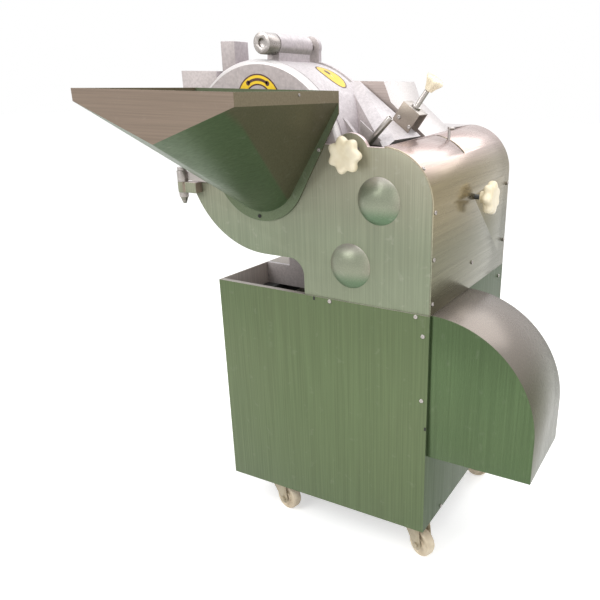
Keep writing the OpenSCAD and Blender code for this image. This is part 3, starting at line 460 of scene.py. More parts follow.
@dataclass(frozen=True)
class Coat:
    """Plastic, paint, rubber or a printed film, with soft variation."""

    name: str
    colour: Screen
    shade: Screen
    roughness: tuple[float, float]
    grain: float
    grain_bump: float
    metallic: float = 0.0
    clear: float = 0.0
    patch_scale: float = 22.0
    patch_share: float = 0.6

    def build(self, effects: Effects) -> Material:
        """Makes the material.

        Args:
            effects: the shared groups.

        Returns:
            The material.
        """
        material, graph, surface = new_material(self.name)
        surface.inputs["Metallic"].default_value = self.metallic
        surface.inputs["Coat Weight"].default_value = self.clear
        smudge = graph.add("Group", node_tree=effects.smudge, Scale=self.patch_scale)
        patch = graph.math("MULTIPLY", smudge.outputs["Patch"], self.patch_share)
        graph.join(graph.blend(patch, linear(self.colour), linear(self.shade)), surface.inputs["Base Color"])
        brush = graph.add("Group", node_tree=effects.brush, Stretch=(self.grain,) * 3)
        graph.join(graph.span(brush.outputs["Line"], 0.3, 0.7, *self.roughness), surface.inputs["Roughness"])
        graph.bump(brush.outputs["Line"], self.grain_bump, 0.5, surface)
        return material


@dataclass
class Palette:
    """Every finish of the machine, by name."""

    effects: Effects = field(default_factory=Effects)
    made: dict[str, Material] = field(default_factory=dict)

    def finishes(self) -> list[Metal | Coat]:
        """Lists the finishes.

        Returns:
            One entry for each material.
        """
        upright, along, depth = (260.0, 260.0, 3.0), (3.0, 260.0, 260.0), (260.0, 3.0, 260.0)
        fine, cast = (420.0,) * 3, (150.0,) * 3
        satin = (0.34, 0.48)
        return [
            # The facing colours of each metal paint light, shade and reflection: the greenish tint of front
            # and under faces is a painted reflection, faces that look up are lighter, and the cabinet's right
            # side is darker.
            Metal("cabinet_sheet", FacingLightColours((102, 116, 83), (74, 90, 62), (196, 188, 180), (84, 104, 78),
                                         left=(98, 114, 84)), 0.42, satin, upright, 0.12, None, 0.05),
            # Left panel: the near-white colour of its inner face is painted light on a wall that lies in
            # shade.
            Metal("inner_wall_sheet", FacingLightColours((112, 130, 98), (236, 224, 216), (226, 216, 208), (160, 150, 140),
                                            left=(104, 122, 92)), 0.1, satin, upright, 0.1),
            # Front plate: painted sheen, lighter and pinker towards the top.
            Metal("front_plate_sheet",
                  FacingLightColours((138, 146, 123), (150, 140, 124), (226, 222, 214), (100, 118, 92)),
                  0.42, satin, upright, 0.1, PaintedHeightSheen((1.5, 1.28, 1.4), 0.8, 1.05)),
            Metal("dome_sheet", FacingLightColours((144, 150, 130), (146, 144, 128), (206, 198, 192), (104, 128, 100)),
                  0.5, (0.26, 0.36), fine, 0.04),
            # Round cover: painted sheen, lighter towards the top.
            Metal("round_cover_sheet",
                  FacingLightColours((140, 142, 122), (114, 112, 90), (158, 150, 148), (110, 106, 90)),
                  0.7, (0.2, 0.28), depth, 0.08, PaintedHeightSheen((1.9, 1.65, 1.6), 0.8, 0.95), 0.04),
            Metal("motor_cover_sheet", FacingLightColours((86, 105, 72), (90, 89, 70), (141, 132, 125), (84, 104, 78)),
                  0.6, (0.22, 0.32), upright, 0.1, None, 0.05),
            # Hopper: its darker right-hand under facets are painted shade.
            Metal("hopper_sheet", FacingLightColours((139, 123, 109), (122, 112, 90), (180, 170, 156), (82, 100, 70),
                                        lee_shade=(92, 90, 68)), 0.45, (0.32, 0.44), along, 0.08, None, 0.06),
            # Hopper flange: painted shade.
            Metal("flange_painted_shade_sheet", FacingLightColours((104, 116, 90), (104, 116, 90), (150, 140, 126), (84, 96, 72)),
                  0.42, satin, fine, 0.08),
            # Gear cover: its near-white side colour is a painted reflection.
            Metal("gear_cover_sheet",
                  FacingLightColours((158, 145, 140), (214, 208, 206), (224, 218, 218), (130, 124, 120)),
                  0.4, (0.32, 0.44), along, 0.08),
            Metal("bracket_sheet", FacingLightColours((158, 147, 136), (96, 88, 80), (206, 198, 192), (112, 104, 96)),
                  0.5, (0.28, 0.4), fine, 0.05),
            Metal("bright_parts", FacingLightColours((186, 180, 176), (168, 160, 156), (222, 216, 214), (120, 120, 108)),
                  0.7, (0.22, 0.34), fine, 0.05),
            Metal("cast_alloy", FacingLightColours((197, 188, 186), (192, 183, 186), (232, 226, 228), (150, 146, 142)),
                  0.28, (0.42, 0.6), cast, 0.22, None, 0.3, (168, 160, 162), 5.0),
            # Drum rim: near white, a painted highlight.
            Metal("rim_painted_highlight", FacingLightColours((236, 231, 230), (236, 231, 230), (240, 236, 236), (190, 186, 182)),
                  0.2, (0.24, 0.34), fine, 0.03),
            Metal("dark_parts", FacingLightColours((84, 86, 88), (78, 80, 82), (104, 106, 108), (60, 62, 64)),
                  0.5, (0.4, 0.55), fine, 0.15),
            Coat("cream_plastic", (240, 229, 202), (226, 210, 172), (0.28, 0.42), 320.0, 0.05, 0.0, 0.25),
            Coat("caster_paint", (178, 166, 142), (140, 128, 104), (0.36, 0.52), 260.0, 0.12, 0.15),
            Coat("caster_tread", (222, 208, 184), (176, 158, 130), (0.5, 0.66), 240.0, 0.2),
            Coat("motor_paint", (84, 112, 140), (66, 92, 118), (0.38, 0.5), 300.0, 0.18, 0.0, 0.1),
            Coat("belt_rubber", (38, 38, 38), (52, 50, 48), (0.6, 0.75), 500.0, 0.3),
            Coat("label_yellow", (246, 208, 34), (236, 192, 26), (0.28, 0.36), 200.0, 0.02, 0.0, 0.3),
            Coat("label_brown", (82, 46, 34), (66, 36, 28), (0.3, 0.4), 200.0, 0.02, 0.0, 0.3),
            # Near black: painted shade for gaps, the slot and the bore.
            Coat("dark_gap_shade", (24, 24, 22), (34, 32, 30), (0.6, 0.8), 200.0, 0.1),
        ]

    def build(self) -> None:
        """Makes every material once."""
        for finish in self.finishes():
            self.made[finish.name] = finish.build(self.effects)

    def dress(self, obj: Object, name: str) -> None:
        """Gives an object the material of one finish."""
        obj.data.materials.clear()
        obj.data.materials.append(self.made[name])


class Bench:
    """Hand tools: selecting, edit mode, modifiers and settling a finished piece."""

    @staticmethod
    def clear() -> None:
        """Deselects everything before a primitive is added."""
        if bpy.context.object and bpy.context.object.mode != "OBJECT":
            bpy.ops.object.mode_set(mode="OBJECT")
        bpy.ops.object.select_all(action="DESELECT")

    @staticmethod
    def take(obj: Object) -> None:
        """Makes one object the only selected and active one.

        Args:
            obj: the object.
        """
        Bench.clear()
        obj.select_set(True)
        bpy.context.view_layer.objects.active = obj

    @staticmethod
    def edit(obj: Object) -> None:
        """Opens edit mode with nothing selected.

        Args:
            obj: the object to edit.
        """
        Bench.take(obj)
        bpy.ops.object.mode_set(mode="EDIT")
        bpy.ops.mesh.select_mode(type="FACE")
        bpy.ops.mesh.select_all(action="DESELECT")

    @staticmethod
    def pick_faces(obj: Object, test: Callable[[Vector, Vector], bool]) -> None:
        """Selects faces by place and normal.

        Args:
            obj: the object in edit mode.
            test: says yes or no to a face's centre and normal.
        """
        mesh = bmesh.from_edit_mesh(obj.data)
        for face in mesh.faces:
            face.select_set(test(face.calc_center_median(), face.normal))
        bmesh.update_edit_mesh(obj.data)

    @staticmethod
    def close() -> None:
        """Leaves edit mode."""
        bpy.ops.object.mode_set(mode="OBJECT")

    @staticmethod
    def bevel(obj: Object, width: float, angle: float = 40.0) -> None:
        """Rounds the sharp edges with an applied modifier.

        Args:
            obj: the object.
            width: in millimetres.
            angle: edges sharper than this, in degrees.
        """
        Bench.take(obj)
        modifier = obj.modifiers.new("round", "BEVEL")
        modifier.width = mm(width)
        modifier.segments = 2
        modifier.limit_method = "ANGLE"
        modifier.angle_limit = math.radians(angle)
        modifier.harden_normals = False
        bpy.ops.object.modifier_apply(modifier=modifier.name)

    @staticmethod
    def thicken(obj: Object, thick: float, offset: float = 0.0) -> None:
        """Gives a sheet its thickness with an applied modifier.

        Args:
            obj: the sheet.
            thick: in millimetres.
            offset: 0 for both sides alike, 1 for outwards.
        """
        Bench.take(obj)
        modifier = obj.modifiers.new("skin", "SOLIDIFY")
        modifier.thickness = mm(thick)
        modifier.offset = offset
        bpy.ops.object.modifier_apply(modifier=modifier.name)

    @staticmethod
    def face_out(obj: Object) -> None:
        """Turns every face outwards.

        Args:
            obj: the object.
        """
        Bench.edit(obj)
        bpy.ops.mesh.select_all(action="SELECT")
        bpy.ops.mesh.normals_make_consistent(inside=False)
        Bench.close()

    @staticmethod
    def smooth(obj: Object, angle: float = 32.0) -> None:
        """Shades smooth below an angle in degrees."""
        Bench.take(obj)
        bpy.ops.object.shade_smooth_by_angle(angle=math.radians(angle))

    @staticmethod
    def settle(obj: Object, name: str) -> Object:
        """Puts the place into the mesh and names the piece.

        Args:
            obj: the finished object.
            name: its name.

        Returns:
            The same object.
        """
        Bench.take(obj)
        bpy.ops.object.transform_apply(location=True, rotation=True, scale=True)
        obj.name = name
        obj.data.name = name
        return obj

    @staticmethod
    def copies(master: Object, places: Sequence[Matrix], name: str) -> Object:
        """Copies a modelled piece to several places and joins the copies.

        Args:
            master: the piece at the origin; it is removed.
            places: one matrix for each copy.
            name: the joined piece's name.

        Returns:
            The joined piece.
        """
        made = []
        for place in places:
            copy = bpy.data.objects.new(name, master.data.copy())
            bpy.context.scene.collection.objects.link(copy)
            copy.data.transform(place)
            made.append(copy)
        bpy.data.objects.remove(master)
        Bench.clear()
        for copy in made:
            copy.select_set(True)
        bpy.context.view_layer.objects.active = made[0]
        if len(made) > 1:
            bpy.ops.object.join()
        return Bench.settle(made[0], name)


def facing(point: Vector, normal: Sequence[float], spin: float = 0.0) -> Matrix:
    """Gives the matrix that puts a piece at a point, its +Z along a normal and spun by degrees about it."""
    turn = Vector((0, 0, 1)).rotation_difference(Vector(normal).normalized()).to_matrix().to_4x4()
    return Matrix.Translation(point) @ turn @ Matrix.Rotation(math.radians(spin), 4, "Z")


@dataclass
class Maker:
    """Base of the sub-assemblies: hands a finished piece to its body, slot and finish."""

    palette: Palette

    def deliver(self, obj: Object, body: str, slot: Slot, finish: str, *replaced: str) -> Object:
        """Finishes a piece.

        Args:
            obj: the piece, settled.
            body: the body that it rides on.
            slot: the record's slot; not used.
            finish: the finish's name.
            replaced: CAD nodes that it stands for.

        Returns:
            The piece.
        """
        self.palette.dress(obj, finish)
        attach(obj, body)
        if replaced:
            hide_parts(*replaced)
        LOG.info("piece %s on %s", obj.name, body)
        return obj


@dataclass
class CadSkins(Maker):
    """Copies of the CAD nodes with merged faces, rounded edges and a finish."""

    nodes: dict[str, Object] = field(default_factory=dict)
    bodies: dict[str, str] = field(default_factory=dict)
    finish_of: dict[str, str] = field(default_factory=lambda: {
        node: finish for finish, members in NODES_BY_FINISH.items() for node in members})
    by_slot: dict[str, str] = field(default_factory=lambda: {
        Slot.SHEET.value: "cabinet_sheet", Slot.BRIGHT.value: "bright_parts", Slot.CAST.value: "cast_alloy",
        Slot.KNOB.value: "cream_plastic", Slot.DARK.value: "dark_parts", Slot.MOTOR.value: "motor_paint",
        Slot.RUBBER.value: "belt_rubber"})
    round_mm: dict[str, float] = field(default_factory=lambda: {
        "slice_gate": 2.5, "drum_case": 2.0, "case_lug": 4.0, "front_plate": 1.2, "gear_cover": 2.0,
        "hopper": 0.5, "gate_hinge_pin": 2.0, "hinge_bracket": 2.0, "hinge_arm": 2.0, "motor": 1.5})
    small_mm: float = 0.6
    sharp_deg: dict[str, float] = field(default_factory=lambda: {"hopper": 14.0, "slice_gate": 24.0})
    plain_deg: float = 32.0
    flange_start: float = -6.0
    skipped: tuple[str, ...] = ("lock_knob", "side_knob", "adjuster_knob", "crosscut_gear", "disc_drive",
                                "impeller_belt", "drive_belt", "disc_knives", "shaft_bearings", "tie_bars")

    def build(self, record: dict) -> None:
        """Dresses every node.

        Args:
            record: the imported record.
        """
        slots = {entry["node"]: entry["material_slot"] for entry in record["subparts"]}
        for name, node in sorted(self.nodes.items()):
            finish = self.finish_of.get(name, self.by_slot[slots[name]])
            if name in self.skipped:
                self.palette.dress(node, finish)
                continue
            skin = self.deliver(self._skin(name, node), self.bodies[name], Slot(slots[name]), finish, name)
            if name == "hopper":
                self._flange(skin)

    def _flange(self, skin: Object) -> None:
        """Gives the hopper's flange a finish of painted shade, darker and greener than the hopper's front.

        Args:
            skin: the hopper's piece.
        """
        skin.data.materials.append(self.palette.made["flange_painted_shade_sheet"])
        start = at(0, self.flange_start, 0).y
        for face in skin.data.polygons:
            if face.center.y > start and abs(face.normal.y) > 0.5:
                face.material_index = 1

    def _skin(self, name: str, node: Object) -> Object:
        """Copies one node, merges it and rounds its edges.

        Args:
            name: the node's name.
            node: its object.

        Returns:
            The new piece.
        """
        skin = bpy.data.objects.new(name + "_skin", node.data.copy())
        bpy.context.scene.collection.objects.link(skin)
        Bench.edit(skin)
        bpy.ops.mesh.select_all(action="SELECT")
        bpy.ops.mesh.customdata_custom_splitnormals_clear()
        bpy.ops.mesh.remove_doubles(threshold=1e-5)
        bpy.ops.mesh.dissolve_limited(angle_limit=math.radians(0.4))
        Bench.close()
        sharp = self.sharp_deg.get(name, self.plain_deg)
        Bench.bevel(skin, self.round_mm.get(name, self.small_mm), sharp)
        Bench.smooth(skin, sharp)
        return Bench.settle(skin, name + "_skin")


@dataclass
class Screws(Maker):
    """Pan-head screws on the sheets and flanges."""

    head_r: float = 5.0
    head_h: float = 2.4
    crown_edge: float = 1.6
    crown: float = 0.5
    socket_edge: float = 1.4
    socket: float = 1.2
    small: float = 0.9
    tiny: float = 0.6
    shoulder_deg: float = 41.0
    spin_step: float = 37.0

    def master(self, scale: float = 1.0) -> Object:
        """Models one screw head at the origin.

        Args:
            scale: size against the usual head.

        Returns:
            The head, with a raised crown and a round socket.
        """
        Bench.clear()
        tall = mm(self.head_h * scale)
        bpy.ops.mesh.primitive_cylinder_add(vertices=24, radius=mm(self.head_r * scale), depth=tall,
                                            location=(0, 0, tall / 2))
        head = bpy.context.object
        Bench.edit(head)
        Bench.pick_faces(head, lambda centre, normal: normal.z > 0.9)
        bpy.ops.mesh.inset(thickness=mm(self.crown_edge * scale))
        bpy.ops.transform.translate(value=(0, 0, mm(self.crown * scale)))
        bpy.ops.mesh.inset(thickness=mm(self.socket_edge * scale))
        bpy.ops.mesh.extrude_region_move(TRANSFORM_OT_translate={"value": (0, 0, -mm(self.socket * scale))})
        Bench.close()
        Bench.bevel(head, 0.5 * scale)
        Bench.smooth(head)
        return Bench.settle(head, "screw_master")

    def row(self, name: str, body: Body, normal: Sequence[float], points: Sequence[Sequence[float]],
            scale: float = 1.0, finish: str = "bright_parts") -> None:
        """Sets a group of screws on one body.

        Args:
            name: the joined piece's name.
            body: the body that they ride on.
            normal: the way that the heads look.
            points: cabinet millimetres of each.
            scale: size against the usual head.
            finish: the heads' finish.
        """
        spots = [facing(at(*point), normal, self.spin_step * i) for i, point in enumerate(points)]
        self.deliver(Bench.copies(self.master(scale), spots, name), body.value, Slot.BRIGHT, finish)

    def build(self) -> None:
        """Sets every group."""
        self.row("front_panel_screws", Body.MACHINE, FRONT,
                 [(x, PANEL_Y, z) for x, z in ((39, 682), (266, 682), (285, 638), (286, 476))])
        cover = ((8, 918), (8, 815), (8, 714), (251, 753), (504, 918), (504, 760))
        panel = ((110, 114), (480, 130), (480, 400), (480, 660))
        for name, spots in (("right_cover_screws", cover), ("right_panel_screws", panel)):
            self.row(name, Body.MACHINE, RIGHT, [(SIDE_X, y, z) for y, z in spots])
        lean = math.radians(self.shoulder_deg)
        out = Vector((math.cos(lean), 0, math.sin(lean)))
        self.row("shoulder_screws", Body.MACHINE, out,
                 [(SHOULDER_X + SHOULDER_R * out.x, 6, SHOULDER_Z + SHOULDER_R * out.z)], self.small)
        self.row("left_panel_screws", Body.MACHINE, LEFT,
                 [(-SIDE_X, y, z) for y in (24, 480) for z in (130, 400, 660)])
        self.row("back_panel_screws", Body.MACHINE, BACK,
                 [(x, BACK_Y, z) for x in (-280, 0, 280) for z in (122, 400, 668)])
        self.row("rear_plate_screws", Body.MACHINE, BACK,
                 [(x, BACK_Y, z) for x, z in ((-20, 1050), (-20, 720), (284, 720), (284, 900))])
        self.row("flange_screws", Body.DOOR, FRONT,
                 [(x, FLANGE_Y, z) for x, z in ((5, 1040), (21, 1032), (-305, 1040))], self.small)
        self.row("rim_rivet", Body.DOOR, RIGHT, [(73, -146.8, 1149.1)], self.tiny)
        # The stop screw is drawn near black with the same finish.
        self.row("flange_stop_screw", Body.DOOR, FRONT, [(-154, FLANGE_Y, 868)], self.small, "dark_gap_shade")
        self.row("bracket_screws", Body.GATE, FRONT, [(143, 146, 1100), (169, 146, 1079)], self.small)


@dataclass
class Knobs(Maker):
    """Star knobs with rounded lobes and their studs."""

    lobes: int = 7
    outer: float = 41.0
    thick: float = 24.0
    depth_share: float = 0.1
    stud_r: float = 6.0
    step_share: float = 0.25
    step: float = 0.8
    bell_lobes: int = 6
    bell_r: float = 23.0
    bell_h: float = 31.0
    bell_back: float = 16.5
    bell_deg: float = 54.0
    lever_deg: float = 44.0
    lever_r: float = 7.0
    lever_bore_shade: tuple[float, float, float] = (4.3, -14.0, -3.0)
    pillow: Pairs = (
        (0.0, 0.78), (0.06, 0.88), (0.18, 0.96), (0.36, 1.0), (0.62, 1.0), (0.8, 0.96), (0.92, 0.88),
        (0.98, 0.78), (1.0, 0.66), (0.98, 0.5), (0.95, 0.34), (0.95, 0.2), (0.93, 0.12))
    bell: Pairs = (
        (0.0, 0.42), (0.06, 0.46), (0.3, 0.58), (0.6, 0.82), (0.78, 0.97), (0.88, 1.0), (0.96, 0.95),
        (1.0, 0.82), (0.99, 0.55), (0.97, 0.2))

    def star(self, outer: float, thick: float, lobes: int, profile: Pairs) -> Object:
        """Models a star knob along +Z, with its back face at the origin.

        Args:
            outer: radius over the lobes, in millimetres.
            thick: thickness, in millimetres.
            lobes: number of lobes.
            profile: height share and radius share of each ring, from the back to the middle of the front.

        Returns:
            The knob.
        """
        Bench.clear()
        first = profile[0][1]
        bpy.ops.mesh.primitive_circle_add(vertices=lobes * 14, radius=mm(outer) * first, fill_type="NGON")
        knob = Bench.settle(bpy.context.object, "star")
        for vertex in knob.data.vertices:
            angle = math.atan2(vertex.co.y, vertex.co.x)
            vertex.co *= 1.0 - self.depth_share + self.depth_share * math.cos(lobes * angle)
        Bench.edit(knob)
        bpy.ops.mesh.select_all(action="SELECT")
        for (low, small), (high, large) in zip(profile, profile[1:]):
            rise, grow = mm(thick) * (high - low), large / small
            bpy.ops.mesh.extrude_region_move(TRANSFORM_OT_translate={"value": (0, 0, rise)})
            bpy.ops.transform.resize(value=(grow, grow, 1.0), center_override=(0, 0, 0))
        Bench.close()
        Bench.face_out(knob)
        Bench.smooth(knob, 60.0)
        return knob

    def stem(self, radius: float, start: float, end: float) -> Object:
        """Models a round stem along +Z with a stepped end.

        Args:
            radius: in millimetres.
            start: its lower end, in millimetres.
            end: its upper end, in millimetres.

        Returns:
            The stem.
        """
        Bench.clear()
        bpy.ops.mesh.primitive_cylinder_add(vertices=32, radius=mm(radius), depth=mm(end - start),
                                            location=(0, 0, mm((start + end) / 2)))
        stem = bpy.context.object
        Bench.edit(stem)
        Bench.pick_faces(stem, lambda centre, normal: normal.z < -0.9)
        bpy.ops.mesh.inset(thickness=mm(radius * self.step_share))
        bpy.ops.mesh.extrude_region_move(TRANSFORM_OT_translate={"value": (0, 0, -mm(self.step))})
        Bench.close()
        Bench.bevel(stem, 0.5)
        Bench.smooth(stem)
        return Bench.settle(stem, "stem")

    def build(self) -> None:
        """Makes the three knobs in place of their CAD nodes."""
        for name, body, place, lift, boss, stud, slot, finish in (
                ("lock_knob", Body.LOCK, facing(at(100, 0, 1027), FRONT), 14.0, (16.0, 2.0, 15.5),
                 (-55.0, 4.0), Slot.BRIGHT, "bright_parts"),
                ("side_knob", Body.COVER_KNOB, facing(at(SIDE_X, 252, 917), RIGHT, 12.0), 28.0,
                 (15.0, 15.0, 29.5), (-19.0, 16.5), Slot.DARK, "dark_parts")):
            knob = Bench.copies(self.star(self.outer, self.thick, self.lobes, self.pillow),
                                [place @ Matrix.Translation((0, 0, mm(lift)))], name + "_star")
            self.deliver(knob, body.value, Slot.KNOB, "cream_plastic", name)
            piece = Bench.copies(self.stem(*boss), [place], name + "_boss")
            self.deliver(piece, body.value, Slot.KNOB, "cream_plastic")
            piece = Bench.copies(self.stem(self.stud_r, *stud), [place], name + "_stud")
            self.deliver(piece, body.value, slot, finish)
        low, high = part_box("adjuster_knob")
        centre = (low + high) / 2
        lean = math.radians(self.bell_deg)
        axis = Vector((math.cos(lean), 0, math.sin(lean)))
        base = facing(centre - axis * mm(self.bell_back), axis)
        star = self.star(self.bell_r, self.bell_h, self.bell_lobes, self.bell)
        knob = Bench.copies(star, [base], "adjuster_knob_star")
        self.deliver(knob, Body.ADJUSTER.value, Slot.KNOB, "cream_plastic", "adjuster_knob")
        low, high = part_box("lock_lever")
        lever = math.radians(self.lever_deg)
        aim = Vector((math.sin(lever), 0, math.cos(lever)))
        inset = mm(self.lever_r)
        end = Vector((high.x - inset * aim.z, (low.y + high.y) / 2, high.z - inset * aim.x))
        # Painted shade: a near-black stem inside the lever's end, where its bore lies in shade.
        bore_shade = Bench.copies(self.stem(*self.lever_bore_shade), [facing(end, aim)], "lever_bore_shade")
        self.deliver(bore_shade, Body.GATE.value, Slot.DARK, "dark_gap_shade")


@dataclass
class Trims(Maker):
    """Fittings that the CAD leaves out: a painted highlight film on the drum's rim, a near-black sheet of
    painted shade under the round cover's slot, web, near-black marks of painted shade at the panel notches,
    grommet and caster fittings.
    """

    joints: list[dict] = field(default_factory=list)
    axle_reach: float = 19.5
    washer: float = 2.4
    cheek_gap: float = 1.3
    rim_round: float = 12.2
    rim_r: float = 207.0
    rim_y: float = 24.0
    rim_span: tuple[float, float] = (-20.0, 200.0)
    slot_r: float = 114.0
    slot_y: tuple[float, float] = (236.0, 252.0)
    slot_z: float = 939.5
    slot_span: tuple[float, float] = (12.0, 96.0)
    web_y: float = 54.0
    web_t: float = 3.0
    web_corners: Pairs = ((94, 1043), (146, 1043), (94, 1095), (154, 1050))
    notch_size: tuple[float, float, float] = (5.0, 9.0, 0.8)
    notch_spots: Pairs = ((-6, 683), (297, 403))
    grommet_at: tuple[float, float, float] = (180, BACK_Y, 215)
    grommet_r: float = 10.0
    grommet_round: float = 2.4
    bolt_r: float = 8.0
    bolt_h: float = 4.5
    bolt_middle: float = 3.4

    def sweep(self, profile: Pairs, axis: tuple[float, float], span: tuple[float, float], steps: int,
              skin: float) -> Object:
        """Bends a grid round an axis along Y and gives it a thickness.

        Args:
            profile: radius and machine y of each row, in millimetres.
            axis: machine x and z of the axis.
            span: start and end angle, in degrees.
            steps: columns of the grid.
            skin: thickness in millimetres.

        Returns:
            The swept sheet.
        """
        Bench.clear()
        bpy.ops.mesh.primitive_grid_add(x_subdivisions=steps, y_subdivisions=len(profile) - 1, size=2.0)
        sheet = bpy.context.object
        start, end = span
        for vertex in sheet.data.vertices:
            angle = math.radians(start + (end - start) * (vertex.co.x + 1.0) / 2)
            reach, depth = profile[round((vertex.co.y + 1.0) / 2 * (len(profile) - 1))]
            vertex.co = at(axis[0] + reach * math.cos(angle), depth, axis[1] + reach * math.sin(angle))
        Bench.thicken(sheet, skin)
        Bench.face_out(sheet)
        Bench.smooth(sheet, 40.0)
        return sheet

    def bolt(self) -> Object:
        """Models a hexagon bolt head with its washer along +Z.

        Returns:
            The bolt.
        """
        Bench.clear()
        bpy.ops.mesh.primitive_cylinder_add(vertices=6, radius=mm(self.bolt_r), depth=mm(self.bolt_h),
                                            location=(0, 0, mm(self.bolt_middle)))
        head = bpy.context.object
        Bench.edit(head)
        Bench.pick_faces(head, lambda centre, normal: normal.z > 0.9)
        bpy.ops.mesh.inset(thickness=mm(1.4))
        bpy.ops.transform.translate(value=(0, 0, mm(0.5)))
        Bench.pick_faces(head, lambda centre, normal: normal.z < -0.9)
        bpy.ops.mesh.inset(thickness=mm(0.4))
        bpy.ops.mesh.extrude_region_move(TRANSFORM_OT_translate={"value": (0, 0, -mm(1.2))})
        Bench.close()
        Bench.bevel(head, 0.4)
        Bench.smooth(head)
        return Bench.settle(head, "bolt_master")

    def cheek(self) -> Object:
        """Models a pressed fork side in XZ: round at the axle at the origin, broad at the swivel head.

        Returns:
            The side plate, with a pressed panel on both faces.
        """
        Bench.clear()
        eye, top, back, front = mm(14.0), mm(55.0), mm(-58.0), mm(6.0)
        thick, border, press = mm(2.0), mm(4.0), mm(0.9)
        bpy.ops.mesh.primitive_cylinder_add(vertices=40, radius=eye, depth=thick,
                                            rotation=(math.pi / 2, 0, 0))
        plate = Bench.settle(bpy.context.object, "cheek_master")
        for vertex in plate.data.vertices:
            if vertex.co.z > mm(1.0):
                vertex.co.x = back + (front - back) * (vertex.co.x / eye + 1.0) / 2
                vertex.co.z = top
        Bench.edit(plate)
        Bench.pick_faces(plate, lambda centre, normal: abs(normal.y) > 0.9)
        bpy.ops.mesh.inset(thickness=border, use_individual=True)
        bpy.ops.mesh.extrude_faces_move(TRANSFORM_OT_shrink_fatten={"value": press})
        Bench.close()
        Bench.bevel(plate, 0.6)
        Bench.smooth(plate)
        return plate

    def ring(self) -> Object:
        """Models a rubber grommet along +Z from a flattened ring with a grooved lip.

        Returns:
            The ring.
        """
        Bench.clear()
        bpy.ops.mesh.primitive_torus_add(major_radius=mm(self.grommet_r), minor_radius=mm(self.grommet_round),
                                         major_segments=40, minor_segments=12)
        ring = bpy.context.object
        ring.scale = (1.0, 1.0, 0.8)
        Bench.settle(ring, "grommet_master")
        Bench.edit(ring)
        Bench.pick_faces(ring, lambda centre, normal: normal.z > 0.9)
        bpy.ops.mesh.inset(thickness=mm(0.3))
        bpy.ops.transform.translate(value=(0, 0, -mm(0.4)))
        Bench.close()
        Bench.smooth(ring, 50.0)
        return ring

    def notch(self) -> Object:
        """Models a thin near-black mark of painted shade for a gap, along +Z with rounded corners.

        Returns:
            The mark.
        """
        Bench.clear()
        bpy.ops.mesh.primitive_cube_add(size=1.0)
        mark = bpy.context.object
        mark.scale = [mm(size) for size in self.notch_size]
        Bench.settle(mark, "notch_master")
        Bench.bevel(mark, 0.3)
        return mark

    def web(self) -> Object:
        """Models a flat cast web across the depth, with rounded edges.

        Returns:
            The web.
        """
        Bench.clear()
        bpy.ops.mesh.primitive_plane_add(size=2.0)
        web = bpy.context.object
        for vertex, (across, rise) in zip(web.data.vertices, self.web_corners):
            vertex.co = at(across, self.web_y, rise)
        Bench.thicken(web, self.web_t)
        Bench.face_out(web)
        Bench.bevel(web, 0.8)
        Bench.smooth(web)
        return web

    def build(self) -> None:
        """Sets every trim."""
        # Painted highlight: a near-white film over the drum's rounded rim.
        bend = [math.radians(6 + 78 * i / 8) for i in range(9)]
        profile = tuple((self.rim_r + self.rim_round * math.cos(angle),
                         self.rim_y - self.rim_round * math.sin(angle)) for angle in bend)
        rim = self.sweep(profile, (DRUM_X, DRUM_Z), self.rim_span, 96, 0.2)
        self.deliver(Bench.settle(rim, "drum_rim_painted_highlight"), Body.MACHINE.value, Slot.CAST, "rim_painted_highlight")
        # Painted shade: a near-black sheet just inside the round cover, under its slot.
        flat = tuple((self.slot_r, depth) for depth in self.slot_y)
        slot_shade = self.sweep(flat, (SHOULDER_X, self.slot_z), self.slot_span, 40, 0.4)
        self.deliver(Bench.settle(slot_shade, "slot_painted_shade"), Body.MACHINE.value, Slot.DARK, "dark_gap_shade")
        self.deliver(Bench.settle(self.web(), "gate_front_web"), Body.GATE.value, Slot.CAST, "cast_alloy")
        # Painted shade: near-black marks where the panel's notches are.
        marks = [facing(at(x, PANEL_Y - 0.2, z), FRONT) for x, z in self.notch_spots]
        notches = Bench.copies(self.notch(), marks, "panel_notch_shade")
        self.deliver(notches, Body.MACHINE.value, Slot.DARK, "dark_gap_shade")
        hole = Bench.copies(self.ring(), [facing(at(*self.grommet_at), BACK)], "cable_grommet")
        self.deliver(hole, Body.MACHINE.value, Slot.RUBBER, "belt_rubber")
        for joint in self.joints:
            if joint["child"].startswith("roller"):
                self._caster(joint)

    def _caster(self, joint: dict) -> None:
        """Sets the axle bolts and the fork's sides of one caster.

        Args:
            joint: the wheel's joint.
        """
        axis, middle = Vector(joint["axis"]).normalized(), Vector(joint["pos_m"])
        upright = Vector((0, 0, 1))
        corner, swivel = joint["child"][-2:], joint["parent"]
        reach = self.axle_reach + self.washer
        ends = [facing(middle + axis * mm(reach) * sign, axis * sign) for sign in (-1.0, 1.0)]
        bolts = Bench.copies(self.bolt(), ends, "axle_bolts_" + corner)
        self.deliver(bolts, swivel, Slot.BRIGHT, "caster_paint")
        ahead = upright.cross(axis)
        king = next(other for other in self.joints if other["child"] == swivel)
        if (Vector(king["pos_m"]) - middle).dot(ahead) > 0:
            ahead = -ahead
        turn = Matrix((ahead, axis, upright)).transposed().to_4x4()
        reach = self.axle_reach + self.cheek_gap
        sides = [Matrix.Translation(middle + axis * mm(reach) * sign) @ turn for sign in (-1, 1)]
        cheeks = Bench.copies(self.cheek(), sides, "fork_cheeks_" + corner)
        self.deliver(cheeks, swivel, Slot.BRIGHT, "caster_paint")


